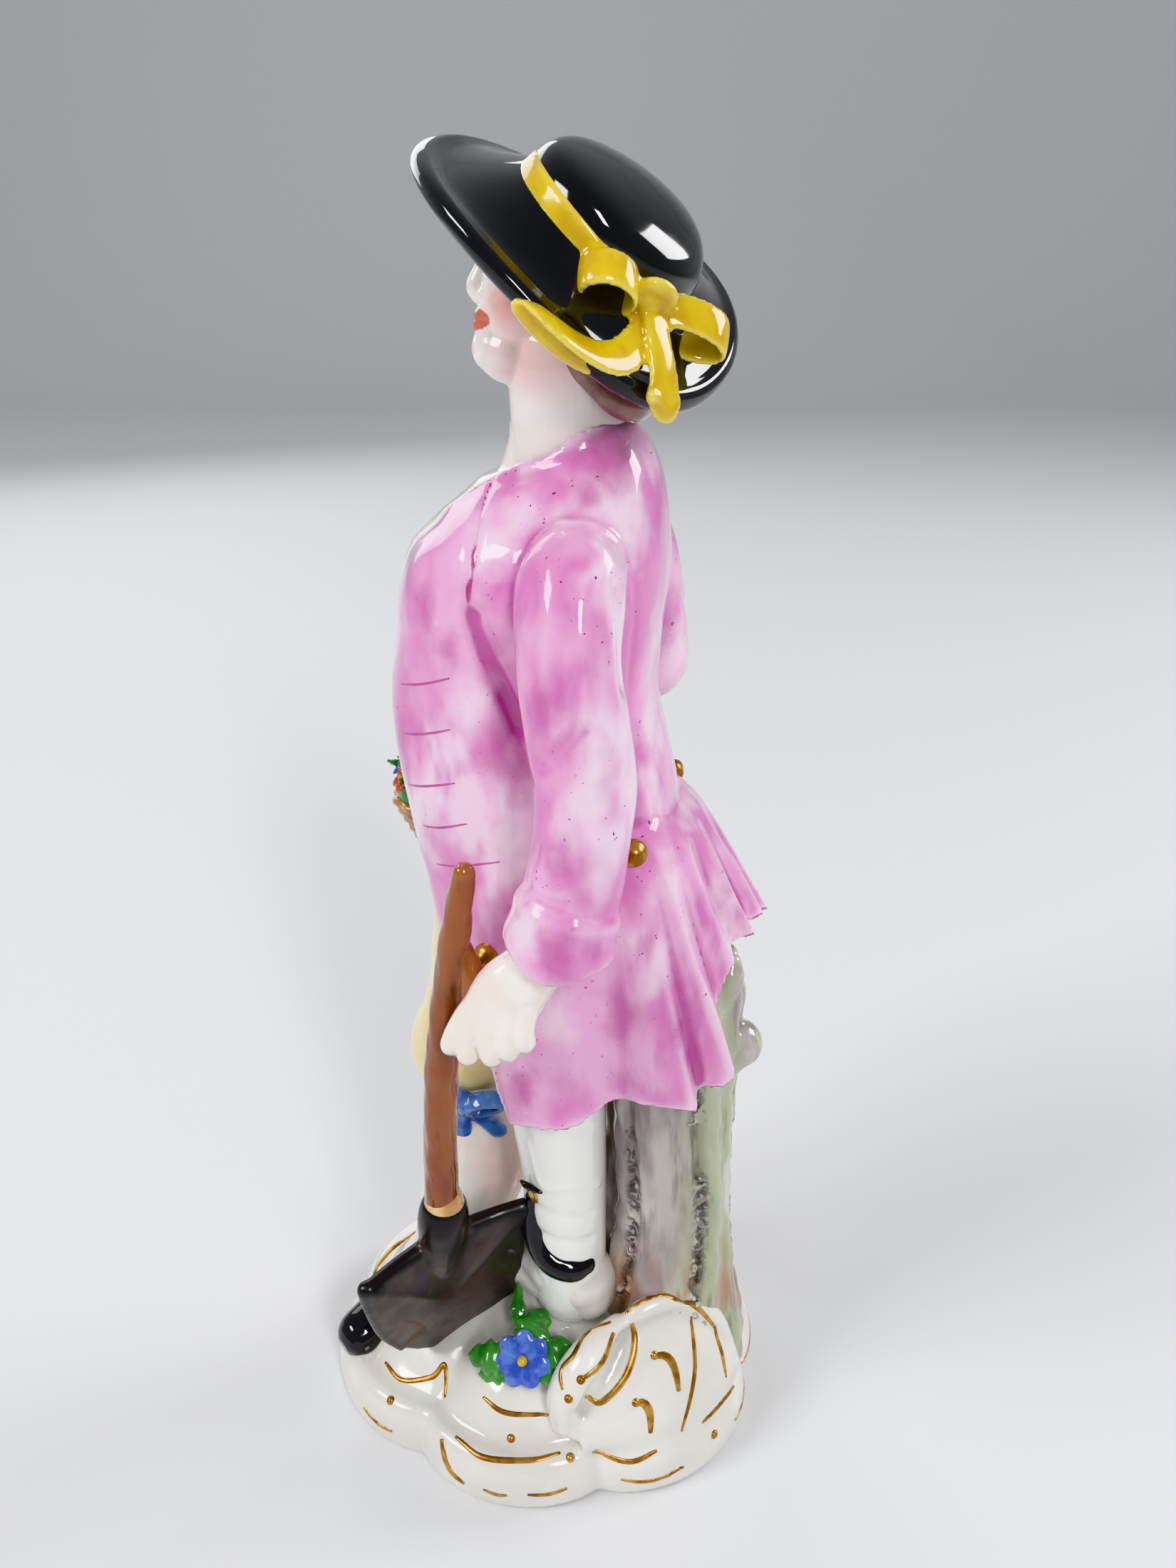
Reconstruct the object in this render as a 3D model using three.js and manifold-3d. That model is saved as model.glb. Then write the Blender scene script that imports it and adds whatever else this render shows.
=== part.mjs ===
// A porcelain gardener on a rocaille base, leaning on a tree stump, with spade, hat and flower basket.
// Millimetres, +Z up. The figure faces -Y and its left hand, with the spade, is on +X. The origin is
// the middle of the flat underside. Figure, clothes, spade, basket, stump and base were joined with
// slip and fired as one, so they are one body.

import * as THREE from 'three';
import { mergeVertices } from 'three/addons/utils/BufferGeometryUtils.js';
import Module from 'manifold-3d';

const wasm = await Module();
wasm.setup();

// Driving dimensions
const BASE = {
  halfX: 27.6, halfY: 34, lobe: 3.4, lobes: 6, rimHeight: 9, moundHeight: 15.5, moundEdge: 0.86, sides: 36,
  hollow: { x: 18, y: -17, reach: 9, depth: 3.6 },
};
const PANEL = {
  from: 26, to: 88, steps: 8, edge: 1.9, wall: 4,
  top: [[24, 10.5, 12], [23, 10.4, 17], [19.6, 12.4, 22], [13.4, 17.4, 25.6], [9, 23.4, 25], [6, 29, 19], [5.6, 32.8, 11]],
  curl: [[14.4, 15.6, 24.4, 2.4], [19.4, 11.8, 22, 3.7], [22.4, 9.4, 17.6, 3.8], [23.6, 9, 13, 2.6]],
};
const STUMP = {
  x: 0, y: 20.6, sides: 21, grooves: 7, grooveDepth: 0.55, twist: 14,
  profile: [[8, 13.6], [16, 13.4], [24, 11.6], [36, 10.3], [52, 9.9], [70, 10], [79, 10.2], [85, 9]],
  knot: [[-2, 27, 67, 4.4], [-2, 31, 70.5, 4], [-2, 32.2, 71.3, 3]],
  twig: [[3, 26, 80, 3.4], [3, 28.5, 84, 2.6], [2.6, 29, 86, 1.6]],
};
const SKIRT = { x: 0, y: 2, waistZ: 110, thickness: 2.4, swell: 1.5, tuck: 1.4, flare: 0.95, rows: 5 };
const HAT = {
  centre: [1.1, 7.1, 178.2], pitch: 35.6, roll: 21, sides: 22,
  brimRadius: 21.6, brimThickness: 1.5, crownRadius: 11, crownBack: 1.6,
  crown: [[11, 1.6], [10.7, 2.6], [9.5, 4.9], [8, 6.3], [5.4, 7.5], [2.6, 8], [0, 8.1]],
  nearRise: 3.15, farDroop: 3.6, frontDroop: 1.1, backDroop: 2.6, twist: 3.5,
  cone: { height: 4.4, tilt: 1.1, towards: 60, power: 1.7 },
};
const SPADE = {
  top: [26, -2.4, 109.4], socket: [20.6, -8.4, 48.5], topRadius: 1.45, footRadius: 2.75, collarRadius: 4.1,
  middle: [20, -9.6, 43.4], across: [-0.7, 0.71, 0.1], down: [-0.18, -0.12, -0.975],
  halfWidth: 13.4, length: 31.8, thickness: 3, stub: [[25.6, -3.6, 97, 1.3], [26.4, -2, 92, 1.4], [26.4, -1, 88, 1.2]],
};
const HEAD = { centre: [1.2, 3.6, 173.4], radii: [8, 9.3, 11.3] };
const BASKET = { centre: [-15, -19.5, 91], radius: 8.2, height: 9, sides: 12, blooms: 7 };
const POSIES = [{ x: 18.3, y: 0.6, scale: 1.25 }, { x: -19, y: -6, scale: 1.1 }];
const CLEAN = { edge: 0.26, sliver: 0.004, hair: 0.02, passes: 10 };
const RAD = Math.PI / 180;

// Limbs as stations of [x, y, z, radius] along their middle lines
const NECK = [[0, 6.8, 148, 9.4], [0.3, 5.6, 155, 7.8], [0.6, 5.2, 160, 7.2], [1, 5, 167, 7.4]];
const LEGS = {
  near: [[7, 3, 88, 8], [7.5, 4, 66, 7.6], [7.6, 5.2, 50, 6.7], [7.8, 5.6, 38, 6.4], [8.4, 6.4, 25, 5.8]],
  nearShoe: [[9.2, 9.5, 25.5, 4.6], [7, 2, 26.6, 4.9], [4.6, -6, 26.4, 3.6]],
  farThigh: [[-6, 0, 90, 11], [-7.2, -8, 72, 11], [-7.6, -14.5, 58.5, 10]],
  farCalf: [[-7, -14, 56, 8.4], [-6, -12.4, 45, 9], [-4.4, -13.6, 34, 8.8], [-1, -18, 20, 6]],
  farShoe: [[-2.5, -17.5, 14, 4.8], [4, -23.5, 12, 5], [12.4, -29.6, 10, 4.1]],
  bow: [[2, -14.8, 53, 1.5], [2.6, -11.6, 52.4, 1.6], [1.2, -8.4, 53, 1.5]],
  tails: [[[2.4, -12, 52, 1.3], [2, -14.4, 48, 1.1]], [[2.2, -11, 52, 1.3], [0.6, -7.8, 48, 1.1]]],
};
const ARMS = {
  nearSleeve: [[11, 8.6, 145.5, 5.6], [17, 9.2, 143, 6.4], [20.6, 9.6, 136, 6.3], [21.8, 10.8, 128, 6.4],
    [22.6, 11.9, 120, 6.2], [23.3, 11.3, 111, 6.1], [24.3, 9.4, 101, 6.2]],
  nearCuff: [[23.9, 10.6, 107.5, 6.6], [24.5, 9.6, 102.6, 7.2], [24.9, 8.6, 98, 7.1]],
  nearPalm: [[25.2, 7.4, 98, 4], [26, 4.6, 93, 4.3], [26.6, 1.2, 88.4, 4.5]],
  nearFinger: [[28.6, -1.6, 89.4, 1.5], [28.8, -4.3, 86, 1.45], [26.6, -5.2, 83.4, 1.2]],
  nearFingerStep: [-1.1, 1.9, -1.5],
  farSleeve: [[-11, 8.6, 145.5, 5.6], [-17.4, 9.4, 142, 6.4], [-22.6, 10.8, 132, 6.4], [-24.6, 11.4, 122, 6.6]],
  farForearm: [[-24.6, 11.2, 122.5, 6.4], [-23.6, 3, 114, 6.2], [-22, -5, 105.5, 5.8]],
  farCuff: [[-22, -4, 106.4, 6.7], [-21.5, -7.2, 103.2, 7.2], [-20.9, -10.4, 100, 7.1]],
  farPalm: [[-21, -9, 100, 3.9], [-21.4, -13, 97, 4.1], [-21.6, -15.4, 94.6, 3.9]],
  farFinger: [[-23.4, -15.6, 98, 1.5], [-22, -18.4, 97.4, 1.4], [-19.6, -19.4, 96.8, 1.2]],
  farFingerStep: [0.6, 0, -2],
};

// Levels of the coat's body: height, front and back reach, half width, backward slope of the level
const COAT = [
  [88, -12.5, 16, 13.6, 0], [98, -15.2, 19, 15, 0], [109, -17.6, 19.8, 15.8, 0], [117, -18.8, 18.4, 15.4, 0],
  [125, -18.8, 16.6, 15.8, 0], [133, -17.6, 17, 16.8, 0.02], [140, -16.6, 17.8, 17.4, 0.06],
  [146, -15, 17.6, 16.4, 0.14], [150.5, -11.8, 16.6, 13.4, 0.24], [154, -8.2, 15, 10.4, 0.32],
  [156.4, -4.4, 13.4, 7.4, 0.36],
];

// Hem of the skirt against the angle from +X towards +Y: its height, its reach from the middle, the ridges
// and hollows of its folds with their lean towards the hip buttons, and the share of the height that is
// left in front, where the coat is open
const HEM_Z = [[-12, 63], [10, 63.2], [24, 65], [37, 68.5], [50, 70], [57, 71], [61, 73], [66, 74.6], [71, 82],
  [77, 87.6], [86, 89.6], [100, 89.6], [110, 87.6], [122, 79], [140, 72], [165, 64], [192, 62]];
const HEM_R = [[-76, 13.5], [-12, 17.2], [10, 19], [37, 20.8], [48, 24.5], [57, 28], [66, 30.4], [72, 28.4], [78, 27.8],
  [90, 28.8], [100, 30.4], [110, 31.6], [124, 28.6], [140, 24], [165, 20], [192, 18], [256, 13.5]];
const FOLDS = [[-76, 0, 0], [-44, 0, 0], [-14, 0.4, 0], [-3, -0.3, 0], [6, -0.5, 0],
  [14, 0.8, 0], [24, 0, 0], [34, -0.6, -2], [43, -1.5, -4], [50, 0.2, -6], [56, 1.3, -9], [61, -1, -10], [66, 1.6, -11],
  [71, -0.9, -9], [78, 0.7, -5], [84, -0.9, -3], [90, 0.9, 0], [96, -0.9, 3], [102, 0.8, 5], [106, -0.6, 8],
  [111, 1.5, 11], [117, -1, 10], [124, 1.2, 9], [133, -1.3, 5], [144, 0.3, 2], [156, 0.6, 0], [168, -0.4, 0],
  [180, 0.4, 0], [194, 0.2, 0], [224, 0, 0], [256, 0, 0]];
const FRONT = [[-76, 0.36], [-45, 0.55], [-18, 0.8], [-9, 1], [189, 1], [198, 0.8], [225, 0.55], [256, 0.36]];
const BUTTONS = [[47, 110, 0.4], [130, 110, 0.4], [-38, 88.7, 0.6]];

const vec = (a) => new THREE.Vector3(...a);
const mix = (a, b, t) => a + (b - a) * t;
const smooth = (t) => {
  const c = Math.min(1, Math.max(0, t));
  return c * c * (3 - 2 * c);
};

// Linear reading of a short table of [position, value] rows
function along(rows, x) {
  if (x <= rows[0][0]) return rows[0][1];
  for (let i = 1; i < rows.length; i += 1) {
    if (x <= rows[i][0]) {
      return mix(rows[i - 1][1], rows[i][1], (x - rows[i - 1][0]) / (rows[i][0] - rows[i - 1][0]));
    }
  }
  return rows[rows.length - 1][1];
}

// A closed skin over rings of equal point counts, with a fan at each end
function skin(rings) {
  const sides = rings[0].length;
  const points = rings.flat();
  const index = [];
  for (let r = 0; r < rings.length - 1; r += 1) {
    for (let s = 0; s < sides; s += 1) {
      const a = r * sides + s;
      const b = r * sides + ((s + 1) % sides);
      index.push(a, b, a + sides, b, b + sides, a + sides);
    }
  }
  for (const [ring, turned] of [[0, true], [rings.length - 1, false]]) {
    const middle = new THREE.Vector3();
    rings[ring].forEach((p) => middle.addScaledVector(p, 1 / sides));
    const hub = points.push(middle) - 1;
    for (let s = 0; s < sides; s += 1) {
      const a = ring * sides + s;
      const b = ring * sides + ((s + 1) % sides);
      index.push(...(turned ? [hub, b, a] : [hub, a, b]));
    }
  }
  const geometry = new THREE.BufferGeometry();
  geometry.setFromPoints(points);
  geometry.setIndex(index);
  return geometry;
}

// A solid for joining, turned so that its faces point out
function solid(geometry) {
  const bare = geometry.clone();
  bare.deleteAttribute('normal');
  bare.deleteAttribute('uv');
  const merged = mergeVertices(bare, 1e-4);
  const position = merged.attributes.position;
  const index = Array.from(merged.index.array);
  let volume = 0;
  for (let i = 0; i < index.length; i += 3) {
    const [a, b, c] = [0, 1, 2].map((k) => new THREE.Vector3().fromBufferAttribute(position, index[i + k]));
    volume += a.dot(b.cross(c));
  }
  const triVerts = new Uint32Array(index.length);
  for (let i = 0; i < index.length; i += 3) {
    triVerts.set(volume > 0 ? index.slice(i, i + 3) : [index[i], index[i + 2], index[i + 1]], i);
  }
  return new wasm.Manifold(new wasm.Mesh({
    numProp: 3, vertProperties: new Float32Array(position.array), triVerts,
  }));
}

function join(geometries) {
  return geometries.map(solid).reduce((sum, part) => sum.add(part));
}

// A round limb through points, with a radius at each; round tells which of its two ends is domed
function limb(stations, sides = 10, steps = 6, round = [false, true]) {
  const curve = new THREE.CatmullRomCurve3(stations.map((s) => vec(s)));
  const frames = curve.computeFrenetFrames(steps);
  const rings = [];
  const ring = (t, scale, push) => {
    const u = t * (stations.length - 1);
    const k = Math.min(stations.length - 2, Math.floor(u));
    const radius = mix(stations[k][3], stations[k + 1][3], u - k) * scale;
    const centre = curve.getPoint(t);
    const i = Math.round(t * steps);
    centre.addScaledVector(frames.tangents[i], push);
    return Array.from({ length: sides }, (_, s) => {
      const angle = (2 * Math.PI * s) / sides;
      return centre.clone()
        .addScaledVector(frames.normals[i], radius * Math.cos(angle))
        .addScaledVector(frames.binormals[i], radius * Math.sin(angle));
    });
  };
  const first = stations[0][3];
  const last = stations[stations.length - 1][3];
  if (round[0]) rings.push(ring(0, 0.6, -0.75 * first));
  for (let i = 0; i <= steps; i += 1) rings.push(ring(i / steps, 1, 0));
  if (round[1]) rings.push(ring(1, 0.6, 0.75 * last));
  return skin(rings);
}

// A faceted ball, stretched and turned
function ball(centre, radii, detail = [12, 8], turn = [0, 0, 0]) {
  const geometry = new THREE.SphereGeometry(1, ...detail);
  geometry.scale(...radii);
  geometry.rotateX(turn[0] * RAD);
  geometry.rotateY(turn[1] * RAD);
  geometry.rotateZ(turn[2] * RAD);
  geometry.translate(...centre);
  return geometry;
}

// Outline of the base: an ellipse with lobes
function baseRadius(angle) {
  const ellipse = 1 / Math.hypot(Math.cos(angle) / BASE.halfX, Math.sin(angle) / BASE.halfY);
  return ellipse + BASE.lobe * Math.abs(Math.cos((BASE.lobes / 2) * angle)) ** 0.7;
}

// Top of the mound, with the hollow that the spade's blade stands in
function moundZ(x, y) {
  const u = Math.hypot(x, y) / baseRadius(Math.atan2(y, x)) / BASE.moundEdge;
  const { hollow } = BASE;
  const dip = hollow.depth * Math.exp(-(((x - hollow.x) ** 2 + (y - hollow.y) ** 2) / (2 * hollow.reach ** 2)));
  return BASE.rimHeight + BASE.moundHeight * Math.max(0, 1 - u * u) ** 0.8 - (u < 1 ? dip * (1 - u * u) ** 0.3 : 0);
}

function base() {
  const rim = [[0.985, 0], [1, 2.5], [0.99, 6.4], [0.93, 9], [0.88, 8.6]];
  const mound = [0.8, 0.62, 0.4];
  const at = (u, z) => Array.from({ length: BASE.sides }, (_, s) => {
    const angle = (2 * Math.PI * s) / BASE.sides;
    const r = baseRadius(angle) * u;
    const x = r * Math.cos(angle);
    const y = r * Math.sin(angle);
    return new THREE.Vector3(x, y, z ?? moundZ(x, y));
  });
  return skin([...rim.map(([u, z]) => at(u, z)), ...mound.map((u) => at(u))]);
}

// The big scroll panel that climbs from the rim to the foot of the stump, one on each side
function panels() {
  return [1, -1].flatMap((side) => {
    const top = new THREE.CatmullRomCurve3(PANEL.top.map(([x, y, z]) => new THREE.Vector3(side * x, y, z)));
    const rings = Array.from({ length: PANEL.steps + 1 }, (_, i) => {
      const t = i / PANEL.steps;
      const angle = mix(PANEL.from, PANEL.to, t) * RAD;
      const foot = new THREE.Vector3(side * Math.cos(angle), Math.sin(angle), 0).multiplyScalar(baseRadius(angle) * 0.95);
      const edge = top.getPoint(t);
      const belly = foot.clone().setZ(8.4).lerp(edge, 0.5).addScaledVector(foot, 0.05);
      const back = edge.clone().lerp(new THREE.Vector3(0, STUMP.y, edge.z - PANEL.wall), 0.3);
      return [foot.clone().setZ(5), foot.clone().setZ(8.4), belly, edge, back, back.clone().setZ(5).multiplyScalar(0.9).setZ(5)];
    });
    const lip = PANEL.top.map(([x, y, z]) => [x * side, y, z, PANEL.edge]);
    const curl = PANEL.curl.map(([x, y, z, radius]) => [x * side, y, z, radius]);
    return [skin(rings), limb(lip, 6, PANEL.steps, [true, true]), limb(curl, 8, 5)];
  });
}

function stump() {
  const rings = STUMP.profile.map(([z, radius]) => Array.from({ length: STUMP.sides }, (_, s) => {
    const angle = (2 * Math.PI * s) / STUMP.sides;
    const r = radius + STUMP.grooveDepth * Math.cos(STUMP.grooves * angle + z / STUMP.twist);
    return new THREE.Vector3(STUMP.x + r * Math.cos(angle), STUMP.y + r * Math.sin(angle), z);
  }));
  return [skin(rings), limb(STUMP.knot, 8, 3), limb(STUMP.twig, 7, 3)];
}

function legs() {
  return [
    limb(LEGS.near, 10, 4, [false, false]),
    limb(LEGS.nearShoe, 9, 4, [true, true]),
    limb(LEGS.farThigh, 12, 3),
    limb(LEGS.farCalf, 10, 4, [false, false]),
    limb(LEGS.farShoe, 9, 4, [true, true]),
    limb(LEGS.bow, 6, 3),
    ...LEGS.tails.map((tail) => limb(tail, 5, 2)),
  ];
}

function bodyRing([z, front, back, half, slope], sides = 20) {
  const middle = (front + back) / 2;
  const reach = (back - front) / 2;
  return Array.from({ length: sides }, (_, s) => {
    const angle = (2 * Math.PI * s) / sides;
    const c = Math.cos(angle);
    const d = Math.sin(angle);
    const k = (Math.abs(c) ** 2.5 + Math.abs(d) ** 2.5) ** (-1 / 2.5);
    const y = middle + reach * k * d;
    return new THREE.Vector3(half * k * c, y, z + slope * (y - middle));
  });
}

function coatBody() {
  return skin(COAT.map((level) => bodyRing(level)));
}

// Reach of the skirt at the waist, squarer at the back, where its pleats are gathered
function waistRadius(angle) {
  const front = Math.sin(angle * RAD) < 0;
  const ring = front ? 2.5 : 3.4;
  const c = Math.abs(Math.cos(angle * RAD)) / 16.6;
  const d = Math.abs(Math.sin(angle * RAD)) / 18.6;
  return (c ** ring + d ** ring) ** (-1 / ring);
}

// A point of the skirt, on the line that meets the hem at angle: level 0 at the waist to 1 at the hem, lean
// in degrees at the waist, and inset into the cloth
function skirtPoint(angle, level, inset, fold = 0, lean = 0) {
  const turn = (angle + lean * (1 - level)) * RAD;
  const z = mix(SKIRT.waistZ, along(HEM_Z, angle), level);
  const tuck = SKIRT.tuck * Math.max(0, 1 - SKIRT.rows * level);
  const reach = mix(waistRadius(turn / RAD), along(HEM_R, angle), level ** SKIRT.flare);
  const r = reach + level * fold - tuck - inset;
  return new THREE.Vector3(SKIRT.x + r * Math.cos(turn), SKIRT.y + r * Math.sin(turn), z);
}

// The skirt, one curved plate from its near front edge round the back to its far front edge
function skirt() {
  return skin(FOLDS.map(([angle, fold, lean]) => {
    const outer = [];
    const inner = [];
    for (let row = 0; row <= SKIRT.rows; row += 1) {
      const level = (row / SKIRT.rows) * along(FRONT, angle);
      outer.push(skirtPoint(angle, level, 0, fold, lean));
      inner.unshift(skirtPoint(angle, level, SKIRT.thickness + SKIRT.swell * (1 - level), 0, lean));
    }
    return [...outer, ...inner];
  }));
}

function sleeves() {
  return [
    limb(ARMS.nearSleeve, 10, 7, [true, false]),
    limb(ARMS.nearCuff, 10, 2, [false, false]),
    limb(ARMS.farSleeve, 10, 4, [true, true]),
    limb(ARMS.farForearm, 10, 3, [false, false]),
    limb(ARMS.farCuff, 10, 2, [false, false]),
  ];
}

// Fists: a palm and four curled fingers, the near one round the shaft of the spade
function hands() {
  const fingers = (stations, step) => [0, 1, 2, 3].map((i) => limb(
    stations.map(([x, y, z, r]) => [x + step[0] * i, y + step[1] * i, z + step[2] * i, r]), 6, 2,
  ));
  return [
    limb(ARMS.nearPalm, 9, 3),
    ...fingers(ARMS.nearFinger, ARMS.nearFingerStep),
    limb(ARMS.farPalm, 9, 3),
    ...fingers(ARMS.farFinger, ARMS.farFingerStep),
  ];
}

function head() {
  const [x, y, z] = HEAD.centre;
  return [
    limb(NECK, 10, 3, [false, false]),
    ball(HEAD.centre, HEAD.radii, [14, 10]),
    ball([x, y - 3.6, z - 5.4], [5.6, 6.4, 5.8], [12, 8]),
    ball([x, y - 9.4, z - 5.9], [2, 1.6, 1.9], [7, 5]),
    limb([[x, y - 8.6, z + 3, 0.9], [x, y - 9.7, z + 0.6, 1.2], [x, y - 9.6, z - 0.2, 1.3]], 6, 3),
    ball([x, y + 6.8, z - 7], [7.2, 5.2, 7.6], [10, 7]),
  ];
}

// Puts a shape made round the hat's own axis, with its front on -Y, onto the tilted hat
function onHat(geometry) {
  const towardsFront = new THREE.Vector3(0, -Math.cos(HAT.pitch * RAD), Math.sin(HAT.pitch * RAD));
  const up = new THREE.Vector3(0, Math.sin(HAT.pitch * RAD), Math.cos(HAT.pitch * RAD));
  const side = new THREE.Vector3(Math.cos(HAT.roll * RAD), 0, 0).addScaledVector(up, -Math.sin(HAT.roll * RAD));
  const axis = new THREE.Vector3().crossVectors(side, towardsFront.clone().negate());
  const place = new THREE.Matrix4().makeBasis(side, towardsFront.negate(), axis);
  place.setPosition(vec(HAT.centre));
  const position = geometry.attributes.position;
  for (let i = 0; i < position.count; i += 1) {
    const x = position.getX(i);
    const y = position.getY(i);
    const turned = x > 0 ? HAT.nearRise * x * x : -HAT.farDroop * x * x;
    const bent = (y < 0 ? HAT.frontDroop : HAT.backDroop) * y * y + HAT.twist * x * y;
    position.setZ(i, position.getZ(i) + (turned - bent) / HAT.brimRadius ** 2);
  }
  return geometry.applyMatrix4(place);
}

// Raises the top of the hat into a cone round the crown, which sits a little towards the back
function coned(geometry) {
  const { brimRadius, crownRadius, crownBack, cone } = HAT;
  const position = geometry.attributes.position;
  for (let i = 0; i < position.count; i += 1) {
    const x = position.getX(i);
    const y = position.getY(i);
    const z = position.getZ(i);
    if (z > 0) {
      const radius = Math.hypot(x, y);
      const share = Math.min(1, (brimRadius - radius) / (brimRadius - crownRadius));
      const tilt = cone.tilt * Math.min(1, radius / crownRadius) * Math.cos(Math.atan2(x, -y) - cone.towards * RAD);
      position.setXYZ(i, x, y + crownBack * share, z + (cone.height + tilt) * Math.max(0, share) ** cone.power);
    }
  }
  return geometry;
}

function hatPoint(radius, degrees, height) {
  return [radius * Math.sin(degrees * RAD), -radius * Math.cos(degrees * RAD), height];
}

function hat() {
  const { brimRadius: b, brimThickness: t, crownRadius: c } = HAT;
  const profile = [
    [0, -1], [c * 0.9, -1], [b * 0.8, -0.4], [b - 0.5, -0.5], [b, 0.2], [b - 0.5, t], [b * 0.85, t], [b * 0.68, t],
    [c + 0.3, t], ...HAT.crown,
  ].map(([x, y]) => new THREE.Vector2(x, y));
  const felt = new THREE.LatheGeometry(profile, HAT.sides);
  felt.rotateX(Math.PI / 2);
  const strip = (points, steps) => limb(points.map(([radius, degrees, height, thick]) => (
    [...hatPoint(radius, degrees, height), thick])), 6, steps);
  return [
    coned(felt),
    strip([[21.2, 91, 0.8, 1.3], [20, 102, 1.4, 1.7], [20, 115, 1.6, 1.8], [18.6, 128, 2.2, 1.7], [15, 138, 3.6, 1.6]], 8),
    strip([[14.4, 140, 4.8, 2], [18.6, 140, 3.2, 1.6], [23.2, 144, 0.6, 1.6]], 3),
    strip([[14, 136, 5.4, 1.8], [13.4, 122, 7, 2], [13.6, 110, 5.6, 2], [15, 112, 3.4, 1.8]], 6),
    strip([[14.2, 142, 5.4, 1.8], [15, 158, 6, 1.8], [18.4, 172, 4.4, 1.9], [18.8, 163, 2.6, 1.7]], 6),
  ].map(onHat);
}

function spade() {
  const top = vec(SPADE.top);
  const foot = vec(SPADE.socket);
  const shaft = [0, 0.28, 0.6, 1].map((t, i) => [
    ...top.clone().lerp(foot, t).toArray(), [SPADE.topRadius, 2.15, 2.4, SPADE.footRadius][i],
  ]);
  const across = vec(SPADE.across).normalize();
  const down = vec(SPADE.down).normalize();
  const facing = new THREE.Vector3().crossVectors(across, down).normalize();
  const edge = [];
  const half = SPADE.halfWidth;
  const shape = [[-1, 0], [-0.96, 0.33], [-0.86, 0.62], [-0.62, 0.88], [-0.3, 0.985], [0, 1]];
  const outline = [...shape, ...shape.slice(0, -1).reverse().map(([u, v]) => [-u, v]), [0.5, -0.06], [0, -0.1], [-0.5, -0.06]];
  for (const side of [-1, 1]) {
    edge.push(outline.map(([u, v]) => {
      const bow = 2.2 * u * u - 1.2 * v;
      const thick = (side * SPADE.thickness * (1 - 0.55 * v)) / 2;
      return vec(SPADE.middle).addScaledVector(across, u * half).addScaledVector(down, v * SPADE.length)
        .addScaledVector(facing, -bow + thick);
    }));
  }
  return [
    limb(shaft, 9, 4, [true, false]),
    limb(SPADE.stub, 6, 2),
    limb([[...foot.clone().lerp(top, 0.03).toArray(), SPADE.collarRadius], [...SPADE.middle, 3.8],
      [19.4, -11.6, 36, 2.2]], 10, 3, [false, true]),
    skin(edge),
  ];
}

function basket() {
  const [x, y, z] = BASKET.centre;
  const { radius, height } = BASKET;
  const levels = [[0, 0.72], [1.2, 0.78], [height * 0.6, 0.92], [height, 1.04], [height + 1.4, 1.02], [height + 1.4, 0.6]];
  const rings = levels.map(([up, grow]) => Array.from({ length: BASKET.sides }, (_, s) => {
    const angle = (2 * Math.PI * s) / BASKET.sides;
    return new THREE.Vector3(x + 0.85 * radius * grow * Math.cos(angle), y + radius * grow * Math.sin(angle), z + up);
  }));
  const blooms = Array.from({ length: BASKET.blooms }, (_, i) => {
    const angle = i * 2.4;
    const r = i === 0 ? 0 : 4.6;
    return ball([x + r * 0.85 * Math.cos(angle), y + r * Math.sin(angle), z + height + 2 + (i === 0 ? 2 : 0)], [3, 3.1, 2.5], [5, 4]);
  });
  return [skin(rings), ...blooms];
}

// Applied flower with its leaves, and a smaller one on the far side of the mound
function posy(x, y, scale) {
  const out = Math.atan2(y, x);
  const z = moundZ(x, y);
  const petals = Array.from({ length: 5 }, (_, i) => {
    const angle = (2 * Math.PI * i) / 5;
    const side = 2.1 * scale * Math.cos(angle);
    const lift = 1.9 * scale * Math.sin(angle);
    return ball([x - side * Math.sin(out) + 0.6, y + side * Math.cos(out), z + 1 + lift * 0.8],
      [1.7 * scale, 1.9 * scale, 1.7 * scale], [6, 4]);
  });
  const leaves = [[6.4, 1.2], [4.6, 5.4], [-5.4, 1.4]].map(([beside, inward]) => {
    const lx = x - (beside * Math.sin(out) + inward * Math.cos(out)) * scale;
    const ly = y + (beside * Math.cos(out) - inward * Math.sin(out)) * scale;
    return ball([lx, ly, moundZ(lx, ly) + 0.6], [1.8 * scale, 3.3 * scale, 1.5 * scale], [6, 5], [0, 30, out / RAD]);
  });
  return [...petals, ...leaves];
}

// Buttons of the coat: angle, height and how far each stands out
function buttons() {
  return BUTTONS.map(([angle, z, out]) => {
    const level = (SKIRT.waistZ - z) / (SKIRT.waistZ - along(HEM_Z, angle));
    const place = skirtPoint(angle, level, -out - SKIRT.tuck * Math.max(0, 1 - 5 * level));
    return ball(place.toArray(), [2.1, 2.1, 2.1], [7, 5]);
  });
}

function figure() {
  return join([
    base(), ...panels(), ...stump(), ...legs(), coatBody(), skirt(), ...sleeves(), ...hands(), ...head(), ...hat(),
    ...spade(), ...basket(), ...POSIES.flatMap(({ x, y, scale }) => posy(x, y, scale)), ...buttons(),
  ]);
}

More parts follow.
